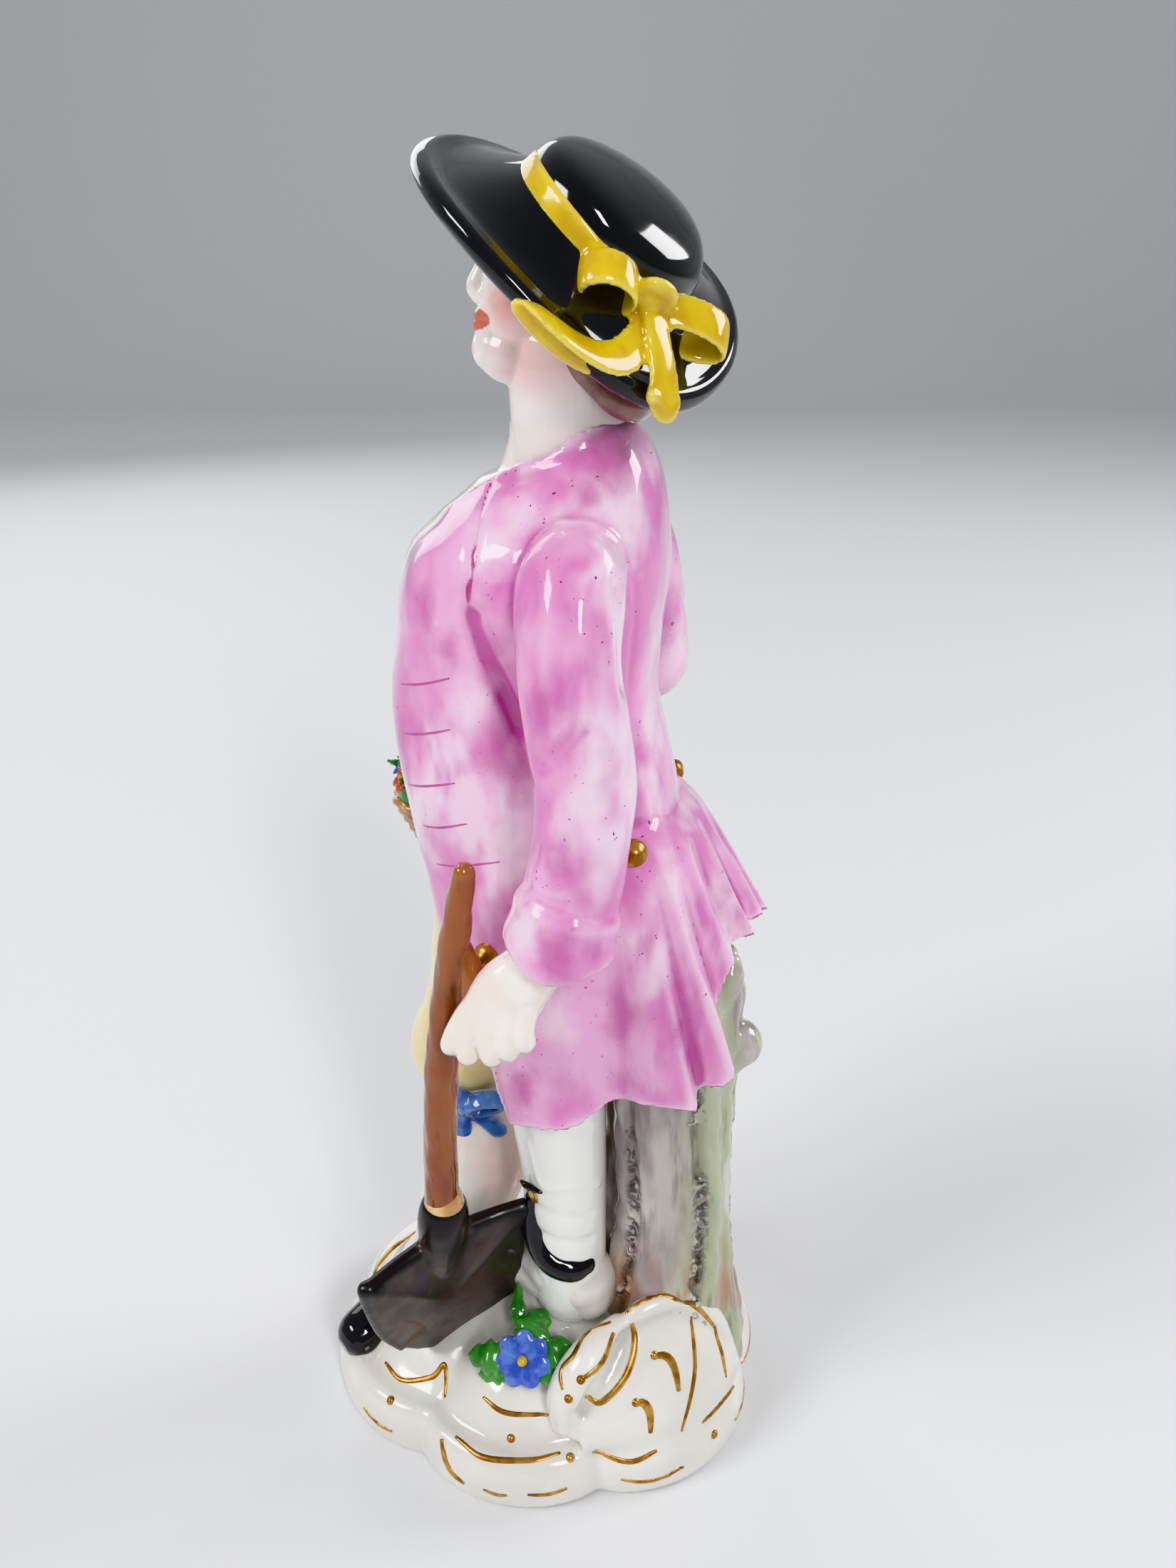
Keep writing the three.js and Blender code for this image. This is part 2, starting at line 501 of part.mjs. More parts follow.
// Closes up edges shorter than the smallest detail, where the surface stays one closed skin
function collapseShortEdges(point, triangles) {
  const around = point.map(() => []);
  triangles.forEach((triangle) => triangle.forEach((v) => around[v].push(triangle)));
  const neighbours = (v) => new Set(around[v].flat().filter((other) => other !== v));
  const touched = new Set();
  for (const triangle of triangles) {
    for (let k = 0; k < 3; k += 1) {
      const keep = triangle[k];
      const drop = triangle[(k + 1) % 3];
      const short = keep !== drop && point[keep].distanceTo(point[drop]) < CLEAN.edge;
      if (short && !touched.has(keep) && !touched.has(drop)) {
        const near = neighbours(keep);
        const far = neighbours(drop);
        if ([...near].filter((v) => far.has(v)).length === 2) {
          [...near, ...far].forEach((v) => touched.add(v));
          around[drop].forEach((t) => t.splice(t.indexOf(drop), 1, keep));
        }
      }
    }
  }
  return triangles.filter(([a, b, c]) => a !== b && b !== c && c !== a);
}

// Turns the long edge of each sliver triangle, whose third corner lies on that edge
function flipSlivers(point, triangles) {
  const name = (a, b) => (a < b ? `${a} ${b}` : `${b} ${a}`);
  const owners = new Map();
  triangles.forEach((t) => t.forEach((v, k) => {
    const edge = name(v, t[(k + 1) % 3]);
    owners.set(edge, [...(owners.get(edge) ?? []), t]);
  }));
  const done = new Set();
  for (const triangle of triangles) {
    const lengths = triangle.map((v, k) => point[v].distanceTo(point[triangle[(k + 1) % 3]]));
    const k = lengths.indexOf(Math.max(...lengths));
    const [a, b, c] = [0, 1, 2].map((i) => triangle[(k + i) % 3]);
    const span = point[b].clone().sub(point[a]);
    const height = span.clone().cross(point[c].clone().sub(point[a])).length() / span.length();
    const other = owners.get(name(a, b)).find((t) => t !== triangle);
    const d = other?.find((v) => v !== a && v !== b);
    if (height < CLEAN.sliver && other && !done.has(triangle) && !done.has(other) && !owners.has(name(c, d))) {
      triangle.splice(0, 3, a, d, c);
      other.splice(0, 3, d, b, c);
      owners.set(name(c, d), [triangle, other]);
      [triangle, other].forEach((t) => done.add(t));
    }
  }
}

// The joined body as one mesh without specks, its corners that only touch parted by a hair
function toGeometry(manifold) {
  const { vertProperties, triVerts } = manifold.getMesh();
  const point = Array.from({ length: vertProperties.length / 3 }, (_, i) => (
    new THREE.Vector3().fromArray(vertProperties, 3 * i)));
  let triangles = Array.from({ length: triVerts.length / 3 }, (_, i) => Array.from(triVerts.slice(3 * i, 3 * i + 3)));
  for (let pass = 0; pass < CLEAN.passes; pass += 1) {
    triangles = collapseShortEdges(point, triangles);
    flipSlivers(point, triangles);
  }
  const used = [...new Set(triangles.flat())];
  const taken = new Set();
  used.forEach((v) => {
    const spot = () => point[v].toArray().map((x) => Math.round(x / CLEAN.hair)).join();
    while (taken.has(spot())) point[v].z += CLEAN.hair;
    taken.add(spot());
  });
  const place = new Map(used.map((v, i) => [v, i]));
  const geometry = new THREE.BufferGeometry();
  geometry.setFromPoints(used.map((v) => point[v]));
  geometry.setIndex(triangles.flat().map((v) => place.get(v)));
  return geometry;
}

const porcelain = new THREE.MeshStandardMaterial({ color: 0xe3b9da, roughness: 0.15, metalness: 0 });
const gardener = new THREE.Mesh(toGeometry(figure()), porcelain);
gardener.name = 'gardener_figure';

const group = new THREE.Group();
group.add(gardener);
export default group;
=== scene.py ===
"""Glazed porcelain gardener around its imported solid: clay forms, enamels, gilding, floor, light and camera.

Shapes are worked out in millimetres in the row frame (+Z up, the figure faces -Y, its left hand on +X)
and turned into metres when a piece is made.
"""

import math

import bpy
import numpy as np
from mathutils import Matrix, Vector
from mathutils.bvhtree import BVHTree


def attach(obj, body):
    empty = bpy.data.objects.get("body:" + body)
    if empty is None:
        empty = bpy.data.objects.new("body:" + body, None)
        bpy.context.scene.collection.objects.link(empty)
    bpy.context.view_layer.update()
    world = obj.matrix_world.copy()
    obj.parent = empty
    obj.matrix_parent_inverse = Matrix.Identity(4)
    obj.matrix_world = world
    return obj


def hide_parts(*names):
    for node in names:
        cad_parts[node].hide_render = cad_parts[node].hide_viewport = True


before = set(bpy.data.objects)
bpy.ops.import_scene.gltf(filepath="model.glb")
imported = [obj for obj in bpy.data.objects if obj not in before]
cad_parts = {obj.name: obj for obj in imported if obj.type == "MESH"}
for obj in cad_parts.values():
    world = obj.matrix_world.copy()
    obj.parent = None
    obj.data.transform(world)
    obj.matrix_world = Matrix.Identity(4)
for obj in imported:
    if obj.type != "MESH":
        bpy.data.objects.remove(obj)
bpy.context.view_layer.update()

MM = 0.001
NODE = "gardener_figure"

# Clay: voxel sizes, which keep all the pieces together under a million triangles
CLAY = dict(
    base=0.56, cloth=0.56, bark=0.43, blade=0.43, shoes=0.344, skin=0.29, hair=0.32, ribbon=0.34, shaft=0.34,
    wicker=0.36, ring=0.3, garter=0.28, leaves=0.26, petals=0.22, buckle=0.2,
)

# Driving dimensions in millimetres, as in the solid. A station is x, y, z and a radius.
# The base: its lobed foot and mound, then the scrolled panel on each side
BASE = dict(
    half_x=27.6, half_y=34.0, lobe=3.4, lobes=6, rim=9.0, mound=15.5, mound_edge=0.86,
    hollow=(18.0, -17.0), hollow_reach=9.0, hollow_depth=3.6,
)
PANEL_TOP = [
    (24, 10.5, 12), (23, 10.4, 17), (19.6, 12.4, 22), (13.8, 17.4, 26.2), (9.6, 23.6, 27),
    (6.4, 29.4, 21.4), (5.6, 32.8, 11),
]
PANEL_CURL = [(14.4, 15.6, 24.4, 2.2), (19.4, 11.8, 22, 3.4), (22.4, 9.4, 17.6, 3.5), (23.6, 9, 13, 2.4)]
# The channel inside the crescent scroll at the front of each panel
PANEL_CHANNEL = [(14.4, 16.9, 26), (19.4, 16, 22.4), (22.8, 13.6, 20), (24.4, 11.6, 16.6)]
# Where the panel begins and ends, in degrees from +X
PANEL_ANGLES = (26, 88)
STUMP_AXIS = (0.0, 20.6)
# Heights of the stump, each with its radius
STUMP_PROFILE = [(8, 13.6), (16, 13.4), (24, 11.6), (36, 10.3), (52, 9.9), (70, 10), (79, 10.2), (85, 9)]
# Upright grooves of the bark: angle in degrees, depth, and half width in radians
STUMP_GROOVES = [
    (-62, 0.9, 0.14), (-28, 1.5, 0.1), (8, 0.7, 0.16), (34, 1.6, 0.1), (66, 0.8, 0.16), (98, 1.3, 0.1),
    (138, 0.9, 0.14), (176, 1.3, 0.1), (212, 0.8, 0.14), (252, 1.2, 0.1),
]
# Rows of beads in the grooves: angle in degrees, and the heights from and to
STUMP_BEADS = [(-28, 26, 58), (34, 24, 50), (34, 62, 80), (98, 30, 60), (176, 40, 74), (252, 26, 50)]

WAIST_Z = 110.0
SKIRT_CENTRE = (0.0, 2.0)
# Sections of the coat: height, front, back, half width and slope
COAT = [
    (88, -12.5, 16, 13.6, 0), (98, -15.2, 19, 15, 0), (109, -17.6, 19.8, 15.8, 0),
    (117, -18.8, 18.4, 15.4, 0), (125, -18.8, 16.6, 15.8, 0), (133, -17.6, 17, 16.8, 0.02),
    (140, -16.6, 17.8, 17.4, 0.06), (146, -15, 17.6, 16.4, 0.14), (150.5, -11.8, 16.6, 13.4, 0.24),
    (154, -8.2, 15, 10.4, 0.32), (156.4, -4.4, 13.4, 7.4, 0.36),
]
# The hem by its angle in degrees from +X: height, and distance from the skirt's centre
HEM_Z = [
    (-12, 63.2), (10, 64.2), (24, 66), (37, 68.7), (50, 69.6), (57, 70), (61, 71.6), (66, 73.4), (71, 82),
    (77, 87.6), (86, 89.6), (100, 89.6), (110, 87.6), (122, 79), (140, 72), (165, 64), (192, 62),
]
HEM_R = [
    (-76, 13.5), (-12, 17.2), (10, 19), (37, 20.8), (48, 24.5), (57, 28), (66, 30.4), (72, 28.4),
    (78, 27.8), (90, 28.8), (100, 30.4), (110, 31.6), (124, 28.6), (140, 24), (165, 20), (192, 18),
    (256, 13.5),
]
# Ridges and hollows of the skirt's folds: hem angle, how far out, and lean in degrees to the hip buttons
FOLDS = [
    (-76, 0, 0), (-44, 0, 0), (-14, 0.4, 0), (-3, -0.3, 0), (6, -0.5, 0), (14, -0.1, 0), (24, 0.1, 0),
    (34, -0.6, -2), (43, -1.5, -4), (50, 0.2, -6), (56, 1.3, -9), (61, -1, -10), (66, 1.6, -11),
    (71, -0.9, -9), (78, 0.7, -5), (84, -0.9, -3), (90, 0.9, 0), (96, -0.9, 3), (102, 0.8, 5),
    (106, -0.6, 8), (111, 1.5, 11), (117, -1, 10), (124, 1.2, 9), (133, -1.3, 5), (144, 0.3, 2),
    (156, 0.6, 0), (168, -0.4, 0), (180, 0.4, 0), (194, 0.2, 0), (224, 0, 0), (256, 0, 0),
]
# How far down the skirt reaches at each angle, as a share
FRONT = [(-76, 0.36), (-45, 0.55), (-18, 0.8), (-9, 1), (189, 1), (198, 0.8), (225, 0.55), (256, 0.36)]
NEAR_SLEEVE = [
    (11, 8.6, 145.5, 5.6), (17, 9.2, 143, 6.4), (20.6, 9.6, 136, 6.3), (21.8, 10.8, 128, 6.4),
    (22.6, 11.9, 120, 6.2), (23.3, 11.3, 111, 6.1), (24.3, 9.4, 101, 6.2),
]
FAR_SLEEVE = [
    (-11, 8.6, 145.5, 5.6), (-17.4, 9.4, 142, 6.4), (-22.6, 10.8, 132, 6.4), (-24.6, 11.4, 122, 6.6),
]
FAR_FOREARM = [(-24.6, 11.2, 122.5, 6.4), (-23.6, 3, 114, 6.2), (-22, -5, 105.5, 5.8)]
NEAR_CUFF = [(24, 10.4, 105.8, 6.5), (24.4, 9.7, 102.4, 7.0), (24.7, 9, 99.4, 6.8)]
FAR_CUFF = [(-22, -4, 106.4, 6.7), (-21.5, -7.2, 103.2, 7.2), (-20.9, -10.4, 100, 7.1)]
# Where the cuffs' edges come to a point, in radians round the arm
CUFF_POINT = -0.15

# Collar edge from the nape round the neck and down the opening, and two seams
COLLAR = [
    (0, 12.7, 160.2), (4.6, 10.8, 160.1), (6.8, 8.5, 159.1), (7.9, 5.4, 157.2), (7.3, 1.6, 155.8),
    (6.5, -1.5, 154.5), (5.9, -3.4, 153), (5, -7, 150.8), (4.2, -9.6, 148.7), (3.4, -14.2, 144.4),
    (2.6, -16.3, 139), (2.2, -17.4, 133),
]
SIDE_SEAM = [
    (6.4, -3, 153), (12.4, -3.2, 150), (16.1, -2.9, 145), (16.7, -3.4, 142), (17, -3.2, 137.6),
    (16.5, -0.8, 130.7), (15.7, 1.4, 125.6), (15.8, 3.4, 118),
]
BACK_SEAM = [(10.8, 15.3, 143.1), (9.6, 15.2, 135.2), (8.4, 15.7, 120.4), (8, 18, 111)]
# Seams, folds and creases of the coat, each with its width and depth
COAT_CREASES = [
    (SIDE_SEAM, 0.6, 0.5),
    ([(17.1, -2.6, 139), (16.9, -1.3, 134.4), (16.4, 0.7, 129), (15.9, 2.2, 124.6)], 1.5, 0.95),
    (BACK_SEAM, 0.6, 0.2), ([(19, 15, 144), (20, 15.4, 139.3), (20.9, 16.2, 132.7)], 1.4, 0.7),
    ([(27.2, 8, 125.1), (28, 11, 127.5), (27.5, 13.2, 129.6)], 1.2, 0.5),
    ([(25.6, 16.6, 123), (28.6, 13.6, 120), (29, 9, 119.4)], 1.8, 0.4),
    ([(24, 5.8, 123), (27.6, 6.2, 120.6), (29, 9.6, 116.6)], 1.0, 0.35),
    ([(22, 5, 146), (26.4, 6.4, 139), (27, 7.6, 131)], 1.3, 0.35),
    ([(22.4, 10.8, 147.6), (27, 11, 141), (28, 11.2, 134)], 1.5, 0.3),
    ([(26, 14, 111), (29.4, 10, 109.6), (27.4, 5.6, 110.6)], 0.9, -0.3),
    ([(0, 17.6, 153), (0, 18.4, 140), (0, 17.4, 126), (0, 19.6, 114)], 0.5, 0.4),
    ([(-20, 17.5, 134), (-27, 16, 128), (-30, 10, 124)], 1.1, 0.4),
    ([(-22, 17.5, 126), (-28, 15.5, 121), (-30, 8, 119)], 1.0, 0.4),
]
# Dark and pale clouds in the enamel with their sizes, which are also painted shade in folds and hollows and
# painted highlight on swellings; then painted buttonholes, and places of gilt buttons
SHADE_AND_DARK_PATCHES = [
    ((15.5, -1, 121.6), 2.6), ((15.6, 2, 119.4), 2.4), ((16.7, -1, 134), 2.2), ((12, 16.4, 113), 2.2),
    ((31, 9.6, 102.6), 2.6), ((15.8, 14.6, 138.6), 2.6), ((27.1, 8.1, 132.2), 2.2),
    ((16.3, -6.2, 134.7), 2), ((15.3, -9.3, 139.3), 1.8), ((8.5, 11.5, 156.1), 2.4),
    ((11.8, 9.8, 152.6), 1.4), ((29, 11.1, 114.8), 2), ((-18.1, 14.9, 130.4), 2.8),
    ((15.7, 15.3, 82.7), 1.8), ((17.6, 2.2, 70.3), 1.8), ((14.9, 23.5, 83.3), 1.6), ((28, 11, 126.6), 1.8),
]
HIGHLIGHT_AND_PALE_PATCHES = [
    ((15.9, -3.7, 127.6), 2.8), ((15.6, -0.9, 146.5), 3), ((15.7, 0.2, 109), 3),
    ((10.6, 13.4, 150.9), 3.2), ((28.2, 13, 122), 2.8), ((4.3, 16.7, 123), 3), ((7.4, 17.4, 114), 2.4),
    ((13.2, 2.1, 150.6), 2.4), ((11.5, 21.4, 103.2), 2.6), ((2.8, 27.8, 92.9), 3), ((18.2, 6.3, 84), 2.6),
]
BUTTONHOLES = [
    [(11.4, -14.5, 127.9), (14, -10.6, 129.2), (16, -6.5, 130.8)],
    [(11, -14.8, 121.1), (13.4, -11, 122.2), (15.2, -7.1, 123.6)],
    [(10.2, -15.2, 113.2), (12.8, -11.2, 114.6), (14.8, -6.9, 116.1)],
    [(11.8, -12.6, 108.1), (13.8, -9.2, 109.2), (15.3, -5.4, 110.6)],
    [(12.1, -11.2, 102.4), (14.6, -6.6, 104), (16.6, -1, 106)],
]
BUTTONS = [(16.2, 18, 109), (-14, 20, 110.8), (17, -3.3, 91.5)]
FRONT_BUTTONS = [137, 129, 121, 113.4, 106, 99]

HEAD_CENTRE = (0.4, 3.2, 176.6)
# The tilt and turn of the head, in degrees
HEAD_TILT = -8.0
HEAD_TURN = 24.0
# Radii and rises of the brim and crown; pitch and roll tip the whole hat, in degrees
HAT = dict(
    centre=(1.1, 7.1, 178.2), pitch=35.6, roll=21.0, brim=21.6, crown=11.0, crown_back=1.6, near_rise=3.15,
    far_droop=3.6, front_droop=1.1, back_droop=2.6, twist=3.5, cone=4.4, cone_tilt=1.1, cone_towards=60.0,
    cone_power=1.7,
)

NEAR_LEG = [
    (7, 3, 88, 8), (7.5, 4, 66, 7.6), (7.6, 5.2, 50, 6.7), (7.8, 5.6, 38, 6.4), (8.4, 6.4, 25, 5.8),
]
NEAR_SHOE = [(9.2, 9.5, 25.5, 4.6), (7, 2, 26.6, 4.9), (4.6, -6, 26.4, 3.6)]
NEAR_HEEL = [(8.6, 8.5, 27.5, 5.6), (7.6, 4, 29.5, 5.8), (6.6, 0, 30.5, 4.2)]
FAR_THIGH = [(-6, 0, 90, 11), (-7.2, -8, 72, 11), (-7.6, -14.5, 58.5, 10)]
FAR_CALF = [(-7, -14, 56, 8.4), (-6, -12.4, 45, 9), (-4.4, -13.6, 34, 8.8), (-1, -18, 20, 6)]
FAR_SHOE = [(-2.5, -17.5, 14, 4.8), (4, -23.5, 12, 5), (12.4, -29.6, 10, 4.1)]
# The seam down the stocking, and the shoe's strap, band and buckle
SIDE_LINE = [(13.7, 1.3, 58.3), (13.6, 2.4, 53), (13.9, 3.9, 50.1), (13.5, 7.6, 50.5), (10.1, 11.3, 48.8)]
STRAP = [(12.9, -0.2, 49.5, 0.4), (13.5, 1, 49.3, 0.6), (14, 3.2, 48.9, 0.4)]
SHOE_BAND = [
    (11.8, 1.2, 45.5, 1.3), (11.9, 1.5, 40.5, 2), (12.3, 2.8, 36.6, 2.4), (12.9, 5, 34.4, 2.5),
    (12.7, 7.8, 33.6, 2.4), (11.9, 9.6, 33.8, 1.7),
]
BUCKLE = (12.8, 1.5, 47.2)

SHAFT_TOP = (26, -2.4, 109.4)
SHAFT_FOOT = (20.6, -10.2, 47)
SHAFT_BOW = 1.5
BLADE = dict(
    middle=(20, -10.7, 43.2), across=(-0.7, 0.71, 0.1), down=(-0.18, -0.12, -0.975), half=13.4,
    length=31.8,
)
# The blade's outline: half widths to the right, and lengths down
BLADE_OUTLINE = [
    (-1, -0.02), (-0.95, 0.16), (-0.88, 0.33), (-0.79, 0.48), (-0.67, 0.63), (-0.53, 0.76), (-0.34, 0.88),
    (-0.12, 0.97), (0.12, 1.02), (0.36, 1.04), (0.58, 1.03), (0.76, 0.98), (0.88, 0.88), (0.96, 0.72),
    (1, 0.5), (1, 0.3), (1, -0.02), (0.72, 0.02), (0.4, 0.03), (0, 0.03), (-0.4, 0.03), (-0.72, 0.02),
]

BASKET = dict(centre=(-15, -19.5, 93.2), radius=8.2, height=7.2)
# Flowers in the basket
BUNCH = 21
# Applied flowers of the base; a leaf is its root, tip and half width
POSIES = [
    dict(centre=(20.6, 1.5, 20.8), out=(0.86, 0.05, 0.5), size=2.9, leaves=[
        ((19.6, 4, 20.6), (16.4, 8.2, 21.2), 3.0), ((19, 1.6, 22.4), (12.8, 3.2, 23.6), 3.2),
        ((20.6, -1.6, 20.2), (19.6, -7.8, 18.4), 2.8), ((20.8, -0.6, 18.8), (21.2, -5.6, 16.4), 2.4),
        ((16, -0.4, 22.4), (10.8, -1.8, 26), 1.5), ((20.2, 4, 18.8), (19.4, 8.2, 18.2), 2.4)]),
    dict(centre=(-20.5, -6, 18.6), out=(-0.86, -0.2, 0.46), size=2.3, leaves=[
        ((-19.5, -8, 19), (-16.6, -11.6, 21), 2.0), ((-20, -4, 18.8), (-18.6, 0.4, 19.8), 2.0),
        ((-21, -6.5, 16.6), (-21.6, -9.8, 15), 1.6)]),
]

# Gilding on the lobed foot and the panels: points near the surface, and the width of each line
LOBE_LINES = [
    ([(27, -8, 9), (29, -2.8, 8.3), (28.4, 4.1, 8.9), (26.2, 8.7, 8.9)], 0.9),
    ([(27, -10.1, 7.9), (29.1, -8.2, 4.3), (30.1, -5.7, 3.2)], 1.3),
    ([(30.6, -2.4, 3.7), (31, -0.4, 3.3), (30.9, 1.4, 3.6)], 0.8),
    ([(30.3, 4.5, 4.1), (29.6, 7.6, 3.9), (28.3, 10.2, 4.4)], 0.8),
    ([(22.4, -4.6, 13), (23.9, -0.5, 12.5), (22.8, 6.5, 12.7)], 0.8),
    ([(17, -23.5, 9.6), (19.4, -19.7, 9.4), (19.1, -14.5, 11), (17.7, -12.6, 12.6),
     (21.3, -11.5, 9.7)], 0.9),
    ([(20.4, -24.6, 4.2), (22.2, -21.8, 3.6), (23.4, -19.4, 3.8)], 0.8),
    ([(24.9, 13.6, 8.7), (23.9, 19.1, 7.1), (21.7, 23, 7.9)], 0.9),
    ([(24.4, 18, 4), (22.4, 22, 3.2), (19, 26, 4)], 0.8),
    ([(15.4, 28.4, 8.2), (11.6, 31.4, 8.6), (8, 33.4, 8)], 0.8),
    ([(12.6, -28, 9.4), (7, -31.6, 8.8), (0, -33.4, 9.2)], 0.9),
    ([(9.4, -32.6, 4), (5, -35, 3.2), (0, -36, 3.6)], 0.8),
    ([(10.6, 33, 4), (5, 35, 3.2), (0, 35.4, 3.6)], 0.8),
]
LOBE_DOTS = [(26.3, 10.3, 8.5), (26.2, 0.8, 9.9), (22.6, -20.4, 8.3), (15, -27.6, 6.4), (14.6, 29.6, 5.4)]
PANEL_LINES = [
    ([(10.1, 26.7, 24.1), (13.8, 27.5, 16.4), (18.8, 26.5, 9.4)], 0.8),
    ([(8, 30.1, 20.7), (9.6, 32, 12.1)], 0.8),
    ([(15.2, 21.2, 20.7), (14.6, 23, 20.2), (14.7, 24.2, 18.4), (16.3, 25.4, 15.2)], 1.3),
    ([(20.6, 19.5, 16.1), (20, 20.6, 15.6), (20.3, 21.6, 14), (21.3, 21.9, 11.2)], 1.3),
    ([(13.8, 16.9, 27.1), (10.6, 22.1, 27.8), (10, 26.3, 27.2), (8, 30.1, 20.7)], 1.0),
    ([(15.5, 14.4, 26.5), (16.9, 11.3, 25.4), (20.8, 9.8, 24.3), (22.2, 8.2, 22.3),
     (24.5, 8.8, 20.8)], 0.9),
    ([(23.4, 12.4, 18.2), (22.2, 14.4, 16.9), (18.8, 17.5, 19.5), (15.1, 18.2, 23.1),
     (13.8, 16.9, 27.1)], 1.1),
    ([(17, 15.2, 25.9), (20.9, 14.1, 23.7), (23.6, 11.5, 22.5)], 1.0),
]
PANEL_DOTS = [(25.2, 9.9, 19.9), (23.6, 11.5, 22.5), (15.2, 21.2, 20.7), (20.6, 19.5, 16.1)]

# Plain enamels: two clouded colours, the colour in the hollows that is also painted shade, the one on the
# ridges if any as painted highlight, and the size of the clouds in millimetres. Colours are sRGB values from
# 0 to 255.
ENAMELS = {
    "trim_glaze": ((196, 96, 160), (186, 78, 150), (176, 62, 140), None, 2),
    "hair_glaze": ((140, 100, 88), (110, 76, 72), (60, 38, 36), (196, 160, 146), 3),
    "hand_glaze": ((246, 241, 235), (243, 232, 222), (216, 180, 156), None, 7),
    "breeches_glaze": ((243, 228, 176), (237, 216, 150), (206, 176, 100), None, 9),
    "blue_glaze": ((84, 124, 190), (52, 84, 158), (24, 42, 120), (140, 172, 214), 3),
    "cream_glaze": ((226, 196, 140), (196, 150, 92), (120, 72, 28), None, 3),
    "petal_pink": ((240, 176, 190), (228, 130, 152), (170, 60, 90), (252, 232, 236), 2),
    "petal_red": ((190, 58, 40), (220, 96, 70), (110, 20, 16), (244, 180, 160), 2),
    "petal_cream": ((238, 230, 206), (228, 214, 176), (190, 160, 90), None, 2),
    "petal_blue": ((58, 86, 186), (96, 130, 214), (24, 42, 120), (170, 190, 238), 2.4),
    "heart_glaze": ((226, 196, 60), (208, 164, 40), (140, 90, 20), None, 1),
    "leaf_glaze": ((44, 118, 46), (74, 150, 62), (18, 62, 34), (140, 196, 120), 4),
    "wicker_glaze": ((188, 132, 70), (156, 98, 46), (84, 44, 18), (222, 186, 130), 3),
}


# Shells: a shell is (points, faces), closed and in millimetres

def catmull(points, count):
    """A smooth line through points, in any number of columns, as count rows."""
    p = np.asarray(points, float)
    p = np.vstack([2 * p[0] - p[1], p, 2 * p[-1] - p[-2]])
    u = np.linspace(0, len(p) - 3, count)
    i = np.minimum(u.astype(int), len(p) - 4)
    t = (u - i)[:, None]
    a, b, c, d = p[i], p[i + 1], p[i + 2], p[i + 3]
    bend = (2 * a - 5 * b + 4 * c - d) * t ** 2 + (3 * b - a - 3 * c + d) * t ** 3
    return 0.5 * (2 * b + (c - a) * t + bend)


def table(rows, x, column=1):
    return np.interp(x, [row[0] for row in rows], [row[column] for row in rows])


def smooth(t):
    c = np.clip(t, 0, 1)
    return c * c * (3 - 2 * c)


def unit(v):
    v = np.asarray(v, float)
    return v / np.linalg.norm(v, axis=-1, keepdims=True)


def circle(count):
    """The angles of count points evenly round a circle."""
    return np.linspace(0, 2 * np.pi, count, endpoint=False)


def mirrored(points, side):
    """Points or stations, with x turned over where side is -1."""
    points = np.array(points, float)
    points[:, 0] *= side
    return points


def loft(rings, closed=False):
    """A skin over rings of equal point counts, with a fan at each end or closed on itself as a torus is."""
    rings = np.asarray(rings, float)
    count, sides = rings.shape[:2]
    points = rings.reshape(-1, 3)
    s = np.arange(sides)
    n = (s + 1) % sides
    faces = []
    for r in range(count if closed else count - 1):
        a, b = r * sides, (r + 1) % count * sides
        faces += list(zip(a + s, a + n, b + n, b + s))
    if closed:
        return points, faces
    last = (count - 1) * sides
    faces += list(zip(np.full(sides, count * sides), n, s))
    faces += list(zip(np.full(sides, count * sides + 1), last + s, last + n))
    return np.vstack([points, rings[0].mean(0), rings[-1].mean(0)]), faces


# Round ends of a swept limb: share of its radius, and how far out, in radii
ROUND_END = [(0.92, 0.38), (0.7, 0.7), (0.38, 0.9)]


def sweep(stations, rings, sides, flat=1.0, up=None):
    """A limb or strip through stations of x, y, z and radius. flat thins it on the side that faces up."""
    line = catmull(stations, rings)
    centre, radius = line[:, :3], line[:, 3]
    tangent = unit(np.gradient(centre, axis=0))
    if up is None:
        side = unit(np.cross(tangent[0], (0.31, 0.77, 0.56)))
        sides_at = [side]
        for t in tangent[1:]:
            side = unit(side - t * (side @ t))
            sides_at.append(side)
        across = np.array(sides_at)
    else:
        up = np.asarray(up, float)
        up = np.broadcast_to(up, centre.shape) if up.ndim == 1 else catmull(up, rings)
        across = unit(np.cross(tangent, up))
    facing = np.cross(across, tangent)
    c, s = np.cos(circle(sides))[None, :, None], flat * np.sin(circle(sides))[None, :, None]
    body = centre[:, None] + radius[:, None, None] * (c * across[:, None] + s * facing[:, None])
    foot, head = [
        np.array([centre[end] + (body[end] - centre[end]) * share + sign * tangent[end] * radius[end] * rise
                  for share, rise in ROUND_END])
        for end, sign in ((0, -1), (-1, 1))
    ]
    return loft(np.concatenate([foot[::-1], body, head]))


def ball(centre, radii, turn=None, sides=24, levels=14):
    """An ellipsoid; turn is a 3 by 3 matrix."""
    level = np.linspace(0.04, np.pi - 0.04, levels)[:, None]
    x, y = np.sin(level) * np.cos(circle(sides)), np.sin(level) * np.sin(circle(sides))
    rings = np.stack([x, y, np.broadcast_to(np.cos(level), x.shape)], -1) * np.broadcast_to(radii, 3)
    if turn is not None:
        rings = rings @ np.asarray(turn, float).T
    return loft(rings + np.asarray(centre, float))


def moved(shell, matrix, offset):
    points, faces = shell
    return points @ np.asarray(matrix, float).T + np.asarray(offset, float), faces


def rotation(axis, degrees):
    return np.array(Matrix.Rotation(math.radians(degrees), 3, axis))


def frame_of(out, up):
    """A 3 by 3 matrix whose third axis is out, with its second one on the side of up."""
    out = unit(out)
    side = unit(np.cross(out, up))
    return np.stack([side, np.cross(side, out), out], 1)


def arch(half):
    """A line given from its middle to one side, with its other side before it."""
    return np.vstack([mirrored(half[:0:-1], -1), half])


